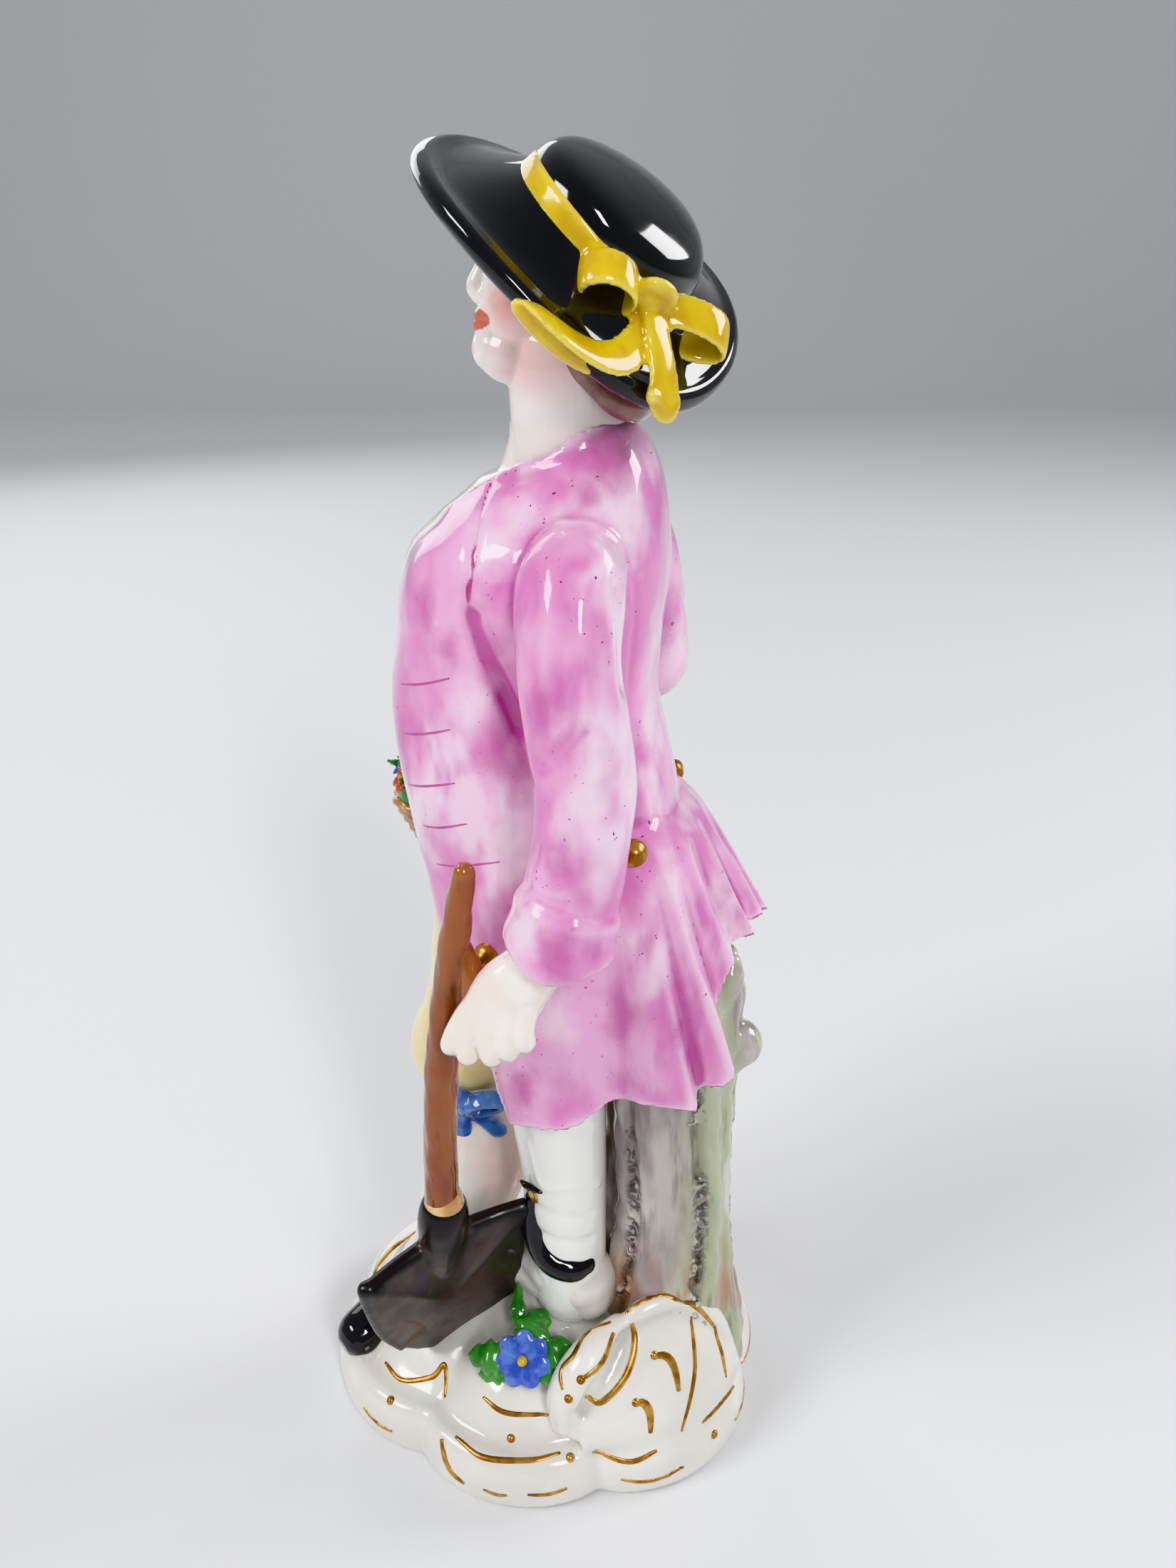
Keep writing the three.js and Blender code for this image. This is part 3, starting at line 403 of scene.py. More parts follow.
def add_object(name, data):
    obj = bpy.data.objects.new(name, data)
    bpy.context.scene.collection.objects.link(obj)
    return obj


def mesh_of(shells):
    points, faces, start = [], [], 0
    for p, f in shells:
        points.append(p)
        faces += [tuple(int(i) + start for i in face) for face in f]
        start += len(p)
    mesh = bpy.data.meshes.new("clay")
    mesh.from_pydata(np.vstack(points).tolist(), [], faces)
    mesh.update()
    return mesh


def fuse(shells, voxel, rounds, reach=None):
    """One skin round shells that overlap, smoothed in rounds, with its relief over reach rounds if given."""
    obj = add_object("clay", mesh_of(shells))
    remesh = obj.modifiers.new("skin", "REMESH")
    remesh.mode = "VOXEL"
    remesh.voxel_size = voxel
    soft = obj.modifiers.new("soft", "SMOOTH")
    soft.factor = 0.5
    soft.iterations = rounds
    mesh = bpy.data.meshes.new_from_object(obj.evaluated_get(bpy.context.evaluated_depsgraph_get()))
    bpy.data.objects.remove(obj)
    if reach:
        relief(mesh, reach)
    return mesh


def numbers(rows, name, columns=3, kind=float):
    """One property of every point, normal or edge of a mesh, as an array."""
    flat = np.empty(len(rows) * columns, kind)
    rows.foreach_get(name, flat)
    return flat.reshape(-1, columns)


def points_of(mesh):
    return numbers(mesh.vertices, "co")


def normals_of(mesh):
    mesh.update()
    return numbers(mesh.vertex_normals, "vector")


def set_points(mesh, co):
    mesh.vertices.foreach_set("co", co.ravel())
    mesh.update()


def push(mesh, amount):
    """Moves each point along its normal by its amount in millimetres."""
    set_points(mesh, points_of(mesh) + normals_of(mesh) * np.asarray(amount)[:, None])


def distance(points, path):
    """Distance of each point from a line through path's points, or from its one point."""
    path = np.asarray(path, float)
    best = np.linalg.norm(points - path[0], axis=1)
    for a, b in zip(path[:-1], path[1:]):
        d = b - a
        t = np.clip((points - a) @ d / (d @ d), 0, 1)
        best = np.minimum(best, np.linalg.norm(points - a - t[:, None] * d, axis=1))
    return best


def nearest(points, paths):
    return np.min([distance(points, path) for path in paths], axis=0)


def crease(mesh, path, width, depth):
    """Presses a soft groove along a path, or raises a ridge where depth is negative."""
    d = distance(points_of(mesh), catmull(path, 24))
    push(mesh, -depth * np.exp(-((d / width) ** 2)))


def field(mesh, name, values):
    attribute = mesh.attributes.new(name, "FLOAT", "POINT")
    attribute.data.foreach_set("value", np.asarray(values, np.float32))


def relief(mesh, rounds=24):
    """How far each point lies below its smoothed surroundings, in millimetres, as the field cavity."""
    co, normals = points_of(mesh), normals_of(mesh)
    share = 0.6
    a, b = numbers(mesh.edges, "vertices", 2, np.int64).T
    count = np.bincount(np.concatenate([a, b]), minlength=len(co))[:, None]
    soft = co.copy()
    for _ in range(rounds):
        total = np.stack([np.bincount(a, soft[b, k], len(co)) + np.bincount(b, soft[a, k], len(co))
                          for k in range(3)], 1)
        soft = (1 - share) * soft + share * total / np.maximum(count, 1)
    field(mesh, "cavity", np.einsum("ij,ij->i", soft - co, normals))


def waves(points, size, seed):
    """A smooth random field of about -1 to 1, the sum of plane waves of about the given size."""
    rng = np.random.default_rng(seed)
    count = 9
    total = np.zeros(len(points))
    for _ in range(count):
        direction = unit(rng.normal(size=3)) * 2 * np.pi / size * rng.uniform(0.7, 1.5)
        total += np.cos(points @ direction + rng.uniform(0, 2 * np.pi))
    return total / (count / 2)


def piece(name, mesh, material):
    """A finished piece in metres, which rides on the one body and stands for its solid."""
    mesh.name = name
    mesh.transform(Matrix.Scale(MM, 4))
    mesh.shade_smooth()
    mesh.materials.clear()
    mesh.materials.append(material)
    obj = add_object(name, mesh)
    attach(obj, "root")
    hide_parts(NODE)


# Materials

def linear(color):
    c = np.asarray(color, float) / 255
    c = np.where(c <= 0.04045, c / 12.92, ((c + 0.055) / 1.055) ** 2.4)
    return (*c.tolist(), 1.0)


class Glaze:
    """A glazed and painted material: layers of colour, then gloss and a slight waviness."""

    def __init__(self, name, first, second, size, upright=1.0, roughness=(0.06, 0.2), coat=0.6):
        self.material = bpy.data.materials.new(name)
        self.material.use_nodes = True
        self.shader = self.material.node_tree.nodes["Principled BSDF"]
        self.coords = self.node("TexCoord", {}).outputs["Object"]
        self.color = linear(first)
        self.layer(second, self.clouds(size, 0.38, 0.62, 1, upright))
        gloss = self.ramp(self.noise(5), 0.3, 0.7, roughness[1], roughness[0])
        self.feed(self.shader, {"Coat Weight": coat, "Coat Roughness": 0.04, "IOR": 1.5, "Roughness": gloss})

    def feed(self, node, inputs):
        """Sets each input to a number or colour, or links it to another node's output."""
        for key, value in inputs.items():
            if isinstance(value, bpy.types.NodeSocket):
                self.material.node_tree.links.new(value, node.inputs[key])
            else:
                node.inputs[key].default_value = value

    def node(self, kind, inputs, **settings):
        made = self.material.node_tree.nodes.new(f"ShaderNode{kind}")
        for key, value in settings.items():
            setattr(made, key, value)
        self.feed(made, inputs)
        return made

    def noise(self, size, detail=3.0, upright=1.0, distortion=0.0):
        """A noise from 0 to 1 with features of about size millimetres, taller where upright is below 1."""
        place = self.node("Mapping", {"Vector": self.coords, "Scale": (1, 1, upright)}).outputs["Vector"]
        inputs = {"Vector": place, "Scale": 1 / (size * MM), "Detail": detail, "Distortion": distortion}
        return self.node("TexNoise", inputs).outputs[0]

    def read(self, name):
        return self.node("Attribute", {}, attribute_type="GEOMETRY", attribute_name=name).outputs["Fac"]

    def ramp(self, value, low, high, top=1.0, bottom=0.0):
        inputs = {"Value": value, "From Min": low, "From Max": high, "To Min": bottom, "To Max": top}
        return self.node("MapRange", inputs, interpolation_type="SMOOTHSTEP").outputs["Result"]

    def clouds(self, size, low, high, strength=1.0, upright=1.0, detail=3.0, distortion=0.0):
        """Soft patches where the noise lies above low, at their full strength above high."""
        return self.ramp(self.noise(size, detail, upright, distortion), low, high, strength)

    def combine(self, a, b, operation="MULTIPLY"):
        return self.node("Math", {0: a, 1: b}, operation=operation).outputs[0]

    def layer(self, color, amount):
        """Paints color over what is there, as thickly as amount says."""
        inputs = {0: amount, 6: self.color, 7: linear(color)}
        self.color = self.node("Mix", inputs, data_type="RGBA").outputs[2]
        return self

    def paint(self, name, color, low, high, strength):
        """Paints color where the field name goes from low to high."""
        return self.layer(color, self.ramp(self.read(name), low, high, strength))

    def pooled_shade_and_highlight(self, dark, light=None, low=0.03, high=0.4, strength=0.8):
        """Colour that pools in the hollows, which is also painted shade, and a paler colour on the ridges,
        which is painted highlight.
        """
        self.paint("cavity", dark, low, high, strength)
        if light is not None:
            self.paint("cavity", light, -low, -high, strength)
        return self

    def specks(self, color, size, share):
        spots = self.clouds(size, share, share + 0.03, detail=1)
        return self.layer(color, self.combine(spots, self.clouds(14, 0.42, 0.6, detail=2)))

    def lines(self, name, color, width, strength):
        """A painted line where the field name is under width, in millimetres, uneven as from a brush."""
        near = self.combine(self.read(name), self.combine(self.noise(3), -0.5 * width), "ADD")
        return self.layer(color, self.ramp(near, width, 0.55 * width, strength))

    def wavy(self, size=3.5, height=0.05):
        """The finished material, with a slight waviness of its glaze."""
        inputs = {"Strength": 0.5, "Distance": height * MM, "Height": self.noise(size, detail=2)}
        bump = self.node("Bump", inputs).outputs["Normal"]
        self.feed(self.shader, {"Base Color": self.color, "Normal": bump})
        return self.material


def enamel(name):
    first, second, dark, light, size = ENAMELS[name]
    # Painted shade in the hollows and painted highlight on the ridges
    return Glaze(name, first, second, size).pooled_shade_and_highlight(dark, light, high=0.35).wavy()


def white_glaze():
    g = Glaze("white_glaze", (232, 229, 222), (222, 219, 211), 16)
    # Painted shade: grey in the hollows of the white glaze
    return g.pooled_shade_and_highlight((196, 192, 184), low=0.05, high=0.6, strength=0.7).wavy()


def coat_glaze():
    g = Glaze("coat_glaze", (236, 176, 217), (220, 132, 192), 10, 0.55)
    g.layer((244, 222, 238), g.clouds(12, 0.5, 0.66, 0.85, 0.6))
    g.layer((196, 74, 164), g.combine(g.clouds(6, 0.5, 0.7, 0.7, 0.4), g.clouds(20, 0.44, 0.6)))
    # Painted shade: deep pink in the hollows, partly enamel pooled there; painted highlight: near white on
    # the ridges
    g.paint("cavity", (184, 66, 148), 0.03, 0.36, 0.85)
    g.paint("cavity", (244, 220, 236), -0.06, -0.6, 0.7)
    uneven = g.combine(g.noise(5), 3.0)
    # Painted shade in the dark patches and painted highlight in the pale ones, with uneven edges like enamel
    # clouds
    for name, color, high in (("pale", (246, 228, 240), 1.4), ("patch", (190, 78, 154), 1.3)):
        g.layer(color, g.ramp(g.combine(g.read(name), uneven, "ADD"), 3.2, high, 0.75))
    # Painted seams and edges, with painted shade down the fold valleys
    g.lines("seam", (166, 34, 114), 0.38, 0.85)
    return g.specks((146, 44, 106), 0.7, 0.73).wavy(4, 0.06)


def black_glaze():
    return Glaze("black_glaze", (14, 14, 16), (24, 24, 27), 8, roughness=(0.04, 0.12)).wavy(6)


def yellow_glaze():
    g = Glaze("yellow_glaze", (222, 190, 32), (208, 168, 20), 4)
    # Painted shade in the hollows and painted highlight on the ridges of the ribbon
    return g.pooled_shade_and_highlight((170, 120, 20), (240, 226, 110), high=0.3).wavy(3, 0.04)


def gold_glaze():
    g = Glaze("gilding", (208, 162, 84), (150, 98, 30), 2.4, roughness=(0.18, 0.34), coat=0.3)
    g.shader.inputs["Metallic"].default_value = 0.85
    return g.wavy(1.5, 0.04)


def skin_glaze():
    g = Glaze("skin_glaze", (250, 244, 240), (246, 237, 232), 9)
    g.paint("jaw", (238, 184, 176), 6.5, 2.0, 0.6)
    # Painted shade: a pinker colour in the hollows of the skin
    g.pooled_shade_and_highlight((214, 160, 150), low=0.04, high=0.5, strength=0.55)
    g.paint("blush", (230, 140, 126), 4.4, 0.5, 0.75)
    g.paint("brow", (108, 70, 46), 0.55, 0.3, 0.8)
    g.paint("lash", (92, 64, 50), 0.48, 0.25, 0.9)
    g.paint("iris", (88, 74, 66), 0.85, 0.65, 0.95)
    g.paint("lips", (212, 88, 54), 0.85, 0.55, 0.9)
    return g.wavy(4, 0.04)


def bark_glaze():
    g = Glaze("bark_glaze", (190, 182, 178), (150, 136, 138), 6, 0.35)
    mossy = g.ramp(g.read("side"), -0.3, 0.7)
    g.layer((172, 182, 142), g.combine(g.clouds(12, 0.34, 0.5, 0.9, 0.4), mossy))
    g.layer((216, 213, 206), g.clouds(9, 0.58, 0.72, 0.8, 0.3))
    g.layer((168, 124, 92), g.combine(g.clouds(5, 0.4, 0.58, 0.85, 0.3), g.ramp(g.read("low"), 40, 26)))
    g.layer((116, 100, 100), g.clouds(2.6, 0.52, 0.66, 0.55, 0.14, 4))
    # Painted shade in the hollows and painted highlight on the ridges of the bark
    g.pooled_shade_and_highlight((66, 52, 46), (226, 223, 216), low=0.05, high=0.5)
    broken = g.clouds(1.8, 0.46, 0.54, detail=4, distortion=1.5)
    g.layer((52, 40, 38), g.combine(g.ramp(g.read("crack"), 1.9, 0.4, 0.9), broken))
    return g.wavy(2.4, 0.06)


def stocking_glaze():
    g = Glaze("stocking_glaze", (242, 228, 220), (238, 216, 208), 8)
    g.paint("near", (240, 240, 235), 2.6, 4.6, 1)
    # Painted shade in the hollows of the stockings
    return g.pooled_shade_and_highlight((186, 176, 168)).lines("seam", (126, 122, 112), 0.3, 0.6).wavy()


def shaft_glaze():
    g = Glaze("shaft_glaze", (134, 66, 24), (152, 84, 36), 5, 0.25)
    g.layer((78, 34, 14), g.clouds(3, 0.55, 0.7, 0.7, 0.2))
    # Painted shade in the hollows and painted highlight on the ridges of the shaft
    return g.pooled_shade_and_highlight((78, 34, 14), (186, 124, 70)).wavy(2, 0.06)


def blade_glaze():
    g = Glaze("blade_glaze", (84, 70, 66), (60, 50, 48), 10, roughness=(0.3, 0.45), coat=0.25)
    # Painted reflection: the right part of the blade darker and greener
    g.paint("right", (26, 32, 28), -14, -2, 0.8)
    g.paint("cavity", (12, 12, 13), -0.02, -0.22, 0.9)
    # Painted shade in the hollows of the blade
    return g.pooled_shade_and_highlight((16, 15, 15), low=0.02, high=0.3).wavy(5)


# Base and stump

def base_radius(angle):
    ellipse = 1 / np.hypot(np.cos(angle) / BASE["half_x"], np.sin(angle) / BASE["half_y"])
    return ellipse + BASE["lobe"] * np.abs(np.cos(BASE["lobes"] / 2 * angle)) ** 0.7


def mound_z(x, y):
    u = np.hypot(x, y) / base_radius(np.arctan2(y, x)) / BASE["mound_edge"]
    hx, hy = BASE["hollow"]
    dip = BASE["hollow_depth"] * np.exp(-((x - hx) ** 2 + (y - hy) ** 2) / (2 * BASE["hollow_reach"] ** 2))
    room = np.clip(1 - u * u, 0, 1)
    return BASE["rim"] + BASE["mound"] * room ** 0.8 - dip * room ** 0.3


def base_mesh():
    angle = circle(220)
    radius = base_radius(angle)
    profile = [(0.975, 0), (0.992, 0.5), (1, 2), (1.003, 4), (0.995, 6), (0.97, 7.9), (0.94, 8.9), (0.9, 9)]
    profile += [(share, None) for share in (0.86, 0.8, 0.72, 0.62, 0.5, 0.36, 0.2, 0.06)]
    rings = []
    for share, z in profile:
        x, y = share * radius * np.cos(angle), share * radius * np.sin(angle)
        rings.append(np.stack([x, y, mound_z(x, y) if z is None else np.full_like(x, z)], -1))
    shells = [loft(rings), sweep(NEAR_SHOE, 30, 30), sweep(NEAR_HEEL, 16, 30)]
    turn = np.radians(np.linspace(*PANEL_ANGLES, 40))
    for side in (1, -1):
        top = mirrored(catmull(PANEL_TOP, 40), side)
        out = np.stack([side * np.cos(turn), np.sin(turn), 0 * turn], -1)
        foot = out * base_radius(turn)[:, None] * 0.955
        low, start = foot + (0, 0, 5), foot + (0, 0, 8.2)
        arch = [start * (1 - t) + top * t + out * 1.6 * math.sin(math.pi * t) for t in (0.25, 0.5, 0.75)]
        axis = np.array([0, STUMP_AXIS[1], 0]) + top * (0, 0, 1) - (0, 0, 4)
        back = top * 0.7 + axis * 0.3
        inner = back * (0.9, 0.9, 0) + (0, 0, 5)
        edge = [(*point, 1.7) for point in mirrored(PANEL_TOP, side)]
        shells += [
            loft(np.stack([low, start, *arch, top, back, inner], 1)), sweep(edge, 60, 16),
            sweep(mirrored(PANEL_CURL, side), 40, 30), ball((22.6 * side, 12.4, 13), (2.6, 2.6, 2.4)),
        ]
    mesh = fuse(shells, CLAY["base"], 4)
    for side in (1, -1):
        crease(mesh, mirrored(PANEL_CHANNEL, side), 1.5, 1.3)
    co = points_of(mesh)
    co[:, 2] = np.maximum(co[:, 2], 0)
    set_points(mesh, co)
    relief(mesh)
    return mesh


def bark_lean(z):
    """How far the bark's grooves swing round the stump at height z, in radians."""
    return 0.1 * np.sin(z / 9.0)


def bark_point(turn, z, swing=0.0, inside=0.0):
    """A point inside the bark at height z, on or beside the groove that stands at turn degrees."""
    here = math.radians(turn) - bark_lean(z) + swing
    reach = table(STUMP_PROFILE, z) - inside
    x, y = STUMP_AXIS
    return np.stack([x + reach * np.cos(here), y + reach * np.sin(here), z + 0 * here], -1)


def stump_mesh():
    rng = np.random.default_rng(11)
    a, z = np.meshgrid(circle(150), np.linspace(STUMP_PROFILE[0][0], STUMP_PROFILE[-1][0], 150))
    r = table(STUMP_PROFILE, z) + 0.2
    for turn, depth, width in STUMP_GROOVES:
        gap = np.angle(np.exp(1j * (a + bark_lean(z) - np.radians(turn))))
        r -= depth * np.exp(-((gap / width) ** 2))
    r += 0.3 * np.sin(5 * a + z / 15) + 0.12 * np.sin(z * 0.9 + 4 * a) + 0.1 * np.sin(11 * a + z / 3)
    shells = [
        loft(np.stack([STUMP_AXIS[0] + r * np.cos(a), STUMP_AXIS[1] + r * np.sin(a), z], -1)),
        sweep([(-2, 26.6, 66.6, 4.6), (-2, 29.2, 68.6, 4.2), (-2, 30.4, 69.2, 3.8)], 12, 20),
        sweep([(3, 26, 80, 3.4), (3, 28.5, 84, 2.6), (2.6, 29, 86, 1.6)], 12, 16),
    ]
    for turn, low, high in STUMP_BEADS:
        height = low
        while height < high:
            bead = bark_point(turn, height, rng.uniform(-0.09, 0.09), 0.5)
            size = rng.uniform(0.45, 0.85)
            shells.append(ball(bead, (size, size, size * rng.uniform(0.9, 1.9)), sides=10, levels=7))
            height += rng.uniform(0.8, 2.4)
    mesh = fuse(shells, CLAY["bark"], 2, 16)
    co = points_of(mesh)
    cracks = [bark_point(turn, np.linspace(low, high, 16)) for turn, low, high in STUMP_BEADS]
    field(mesh, "crack", nearest(co, cracks))
    field(mesh, "side", co[:, 1] / 12 - 1.9)
    field(mesh, "low", co[:, 2])
    return mesh


# Coat

def coat_body():
    c, s = np.cos(circle(120)), np.sin(circle(120))
    squareness = 2.5
    k = (np.abs(c) ** squareness + np.abs(s) ** squareness) ** (-1 / squareness)
    rings = []
    for z, front, back, half, slope in catmull(COAT, 70):
        middle, reach = (front + back) / 2, (back - front) / 2
        y = middle + reach * k * s
        rings.append(np.stack([half * k * c, y, z + slope * (y - middle)], -1))
    return loft(rings)


def waist_radius(angle):
    """The waist's outline, squarer behind than in front."""
    a = np.radians(angle)
    half_wide, half_deep = 16.6, 18.6
    ring = np.where(np.sin(a) < 0, 2.5, 3.4)
    return ((np.abs(np.cos(a)) / half_wide) ** ring + (np.abs(np.sin(a)) / half_deep) ** ring) ** (-1 / ring)


def skirt_point(angle, level, inset=0.0, swell=1.45):
    """A point of the skirt on the line that meets the hem at angle, in degrees: level 0 at the waist, 1 at
    the hem. inset is how far it lies inside, and swell how strongly the folds show."""
    turn = angle + table(FOLDS, angle, 2) * (1 - level)
    a = np.radians(turn)
    z = WAIST_Z + (table(HEM_Z, angle) - WAIST_Z) * level
    tuck = 1.4 * np.maximum(0, 1 - 5 * level)
    waist = waist_radius(turn)
    flare = (table(HEM_R, angle) - waist) * level ** 0.95
    r = waist + flare + swell * table(FOLDS, angle) * level - tuck - inset
    x, y = SKIRT_CENTRE
    return np.stack(np.broadcast_arrays(x + r * np.cos(a), y + r * np.sin(a), z), -1)


def skirt_plate():
    rows, columns = 44, 330
    share = np.linspace(0, 1, rows)
    rings = []
    for angle in np.linspace(FRONT[0][0], FRONT[-1][0], columns + 1):
        level = share * table(FRONT, angle)
        inner = skirt_point(angle, level, 2.2 + 1.5 * (1 - level), 0.5)
        rings.append(np.concatenate([skirt_point(angle, level), inner[::-1]]))
    return loft(rings)


def cuff(stations):
    """A turned-back cuff: a thick band, open below, with a round ridge on top and a pointed lower edge."""
    wall, rows = 1.2, 16
    outer = catmull(stations, rows)
    along = unit(np.gradient(outer[:, :3], axis=0))
    side = unit(np.cross(along, (0.2, 1, 0.1)))
    other = np.cross(along, side)
    angle = circle(48)
    c, s = np.cos(angle)[:, None], np.sin(angle)[:, None]
    lobe = (np.maximum(0, np.cos(angle - CUFF_POINT)) ** 2 - 0.4)[:, None]

    def ring(i, grow, push_by=0.0):
        """Row i of the cuff, grown by so much and pushed along the arm."""
        point = 2.8 * (i / (rows - 1)) ** 2 * lobe
        reach = outer[i, 3] + grow
        return outer[i, :3] + along[i] * (push_by + point) + reach * (c * side[i] + s * other[i])

    swell = [0.2, 0.4, 0.4, 0.2, 0.05, 0, 0, 0, 0, 0.05, 0.1, 0.2, 0.3, 0.4, 0.4, 0.3]
    rings = [ring(0, -1.4, -0.6), ring(0, -0.1, -0.5), *(ring(i, swell[i]) for i in range(rows))]
    rings += [ring(rows - 1, -wall / 2, 0.7), ring(rows - 1, -wall), ring(rows - 4, -wall - 0.6)]
    return loft(rings)


def collar():
    """The raised edge round the neck and down both sides of the opening."""
    line = np.vstack([COLLAR[::-1], mirrored(COLLAR[1:], -1)])
    lean = 0.8 * np.sign(line[:, 0]) * np.minimum(1, np.abs(line[:, 0]) / 3)
    away = np.stack([lean, 0 * lean, np.full(len(line), -0.75)], -1)
    rows = np.hstack([line + 0.9 * unit(away), np.full((len(line), 1), 1.1)])
    return sweep(rows, 150, 16, 0.42, up=unit((line - (0, 4, 150)) * (1, 1, 0.6)))


def coat_mesh():
    sleeves = [sweep(stations, 40, 44) for stations in (NEAR_SLEEVE, FAR_SLEEVE, FAR_FOREARM)]
    shells = [coat_body(), skirt_plate(), collar(), *sleeves, cuff(NEAR_CUFF), cuff(FAR_CUFF)]
    mesh = fuse(shells, CLAY["cloth"], 3)
    for path, width, depth in COAT_CREASES:
        crease(mesh, path, width, depth)
    push(mesh, 0.2 * waves(points_of(mesh) * (1, 1, 0.5), 7.0, 5))
    co = points_of(mesh)
    hem = np.linspace(-14, 194, 200)
    seams = [mirrored(catmull(path, 60), side) for path in (COLLAR, SIDE_SEAM) for side in (1, -1)]
    seams.append(skirt_point(hem, np.ones(200), swell=1))
    # Painted shade: thin dark lines down four of the skirt's fold valleys, carried in the seam field
    pleat_shade_lines = [skirt_point(angle, np.linspace(0.5, 1, 16)) for angle in (61, 71, 117, 106)]
    field(mesh, "seam", np.minimum(nearest(co, seams), nearest(co, pleat_shade_lines) + 0.16))
    for name, patches in (("patch", SHADE_AND_DARK_PATCHES), ("pale", HIGHLIGHT_AND_PALE_PATCHES)):
        near = [np.linalg.norm((co - place) * (1, 1, 0.6), axis=1) / size for place, size in patches]
        field(mesh, name, np.min(near, axis=0))
    relief(mesh)
    return mesh


# Head, hair and hands

def front_of(surface, x, z):
    """The point of the coat's front at a width and height."""
    return np.array(surface.ray_cast(Vector((x, -60, z)), Vector((0, 1, 0)))[0])


def chest(body):
    """The white shirt front that fills the opening of the coat, with a soft frill down its edges."""
    heights = np.linspace(131, 156, 34)
    opening = [(z, x) for x, _, z in COLLAR[:2:-1]]
    rings = []
    for z, wide in zip(heights, table(opening, heights)):
        outer, inner = [], []
        for s in np.linspace(-1, 1, 21):
            y = front_of(body, s * wide, z)[1]
            frill = 0.22 * math.sin(1.7 * z) * abs(s) ** 3
            outer.append((s * wide, y - 0.42 - 0.9 * (1 - s * s) - frill, z))
            inner.append((s * wide * 0.9, y + 1.6, z))
        rings.append(outer + inner[::-1])
    return loft(rings)


# The head round its own centre, facing -Y, with what stands on both sides given for the near one.
# Skull, lower face, chin, underside of the jaw, front of the chin and upper lip, with their sides and levels
HEAD_BALLS = [((0, 1.6, 2.4), (7.5, 9.0, 8.9), 40, 24), ((0, -2.4, -3.4), (6.2, 5.9, 7.6), 36, 20),
              ((0, -6.0, -9.3), (3.3, 2.6, 2.8), 24, 14), ((0, -3.6, -9.6), (4.7, 4.4, 3.6), 24, 14),
              ((0, -6.7, -7.8), (2.7, 1.7, 2.1), 24, 14), ((0, -7.0, -4.9), (2.0, 1.0, 1.2), 24, 14)]
NOSE = [(0, -7.5, 2.4, 1.0), (0, -8.1, -0.6, 1.0), (0, -8.7, -2.8, 1.2), (0, -8.3, -3.7, 1.0)]
# Nostrils, brow, upper and lower lip, from the middle to the near side, with their rings and sides
HEAD_ARCHES = [
    ([(0, -8.4, -3.9, 0.85), (1.4, -7.7, -3.7, 0.75)], 12, 12),
    ([(0, -7.6, 2.2, 0.9), (2.4, -7.2, 2.3, 0.95), (4.4, -5.9, 1.8, 0.9)], 24, 12),
    ([(0, -8.0, -5.85, 0.55), (0.7, -8.0, -5.75, 0.6), (2.1, -7.2, -6.1, 0.35)], 24, 12),
    ([(0, -7.9, -6.9, 0.8), (1.9, -7.1, -6.5, 0.3)], 20, 12),
]
CHEEK_AND_EYE = [((3.7, -4.9, -2.6), (2.6, 2.4, 2.7)), ((2.75, -6.25, -0.1), (1.55, 1.25, 1.15))]
LIDS = [[(1.3, -7.3, -0.1, 0.3), (2.7, -7.75, 0.75, 0.38), (4.3, -6.6, 0.1, 0.3)],
        [(1.5, -7.2, -0.6, 0.25), (2.7, -7.4, -1.0, 0.3), (4.1, -6.5, -0.5, 0.25)]]
NECK = [[(0, 6.8, 148, 9.4), (0.3, 5.6, 155, 7.8), (0.6, 5.2, 160, 7.2), (1, 5, 167, 7.2)],
        [(0.6, 3.8, 160, 5.8), (0.5, 2.8, 156, 5.6), (0.4, -0.4, 151.6, 4.4), (0.2, -5, 148.4, 3.0)]]
# What is only painted: lines of lashes and brows, middles of the iris and the blush, and the lips
FACE_MARKS = {
    "lash": [(1.3, -7.6, 0), (2.8, -8.1, 0.85), (4.5, -6.9, 0.1)],
    "brow": [(1.3, -8.4, 2.5), (3, -8, 3.3), (4.9, -6.4, 2.5)],
    "iris": [(2.75, -7.6, 0)],
    "blush": [(4.8, -5.6, -4)],
}
LIPS = [[(0, -8.5, -5.95), (0.8, -8.5, -5.8), (2.2, -7.2, -6.15)], [(0, -8.6, -7.0), (1.7, -7.6, -6.7)]]


def head_turn():
    return rotation("Z", HEAD_TURN) @ rotation("X", HEAD_TILT)


def head_mesh(body):
    face = [ball(centre, radii, sides=sides, levels=levels) for centre, radii, sides, levels in HEAD_BALLS]
    face += [sweep(NOSE, 20, 14), *(sweep(arch(half), rings, sides) for half, rings, sides in HEAD_ARCHES)]
    for side in (1, -1):
        face += [ball((x * side, y, z), radii) for (x, y, z), radii in CHEEK_AND_EYE]
        face += [sweep(mirrored(lid, side), 16, 10) for lid in LIDS]
        face.append(ball((7.1 * side, 1.4, -2.2), (0.9, 1.7, 2.6), rotation("X", -8)))
    shells = [moved(shell, head_turn(), HEAD_CENTRE) for shell in face]
    shells += [sweep(stations, 24, 40) for stations in NECK]
    shells.append(chest(body))
    mesh = fuse(shells, CLAY["skin"], 4, 24)
    co = points_of(mesh)
    local = (co - HEAD_CENTRE) @ head_turn()
    behind = np.where((local[:, 1] < -3) & (co[:, 2] > 160), 0, 50)
    field(mesh, "lips", behind + nearest(local, [catmull(arch(lip), 20) for lip in LIPS]))
    for name, path in FACE_MARKS.items():
        field(mesh, name, behind + nearest(local, [mirrored(path, side) for side in (1, -1)]))
    field(mesh, "jaw", np.linalg.norm((local - (5.5, -0.5, -9)) * (0.8, 0.7, 1), axis=1))
    return mesh


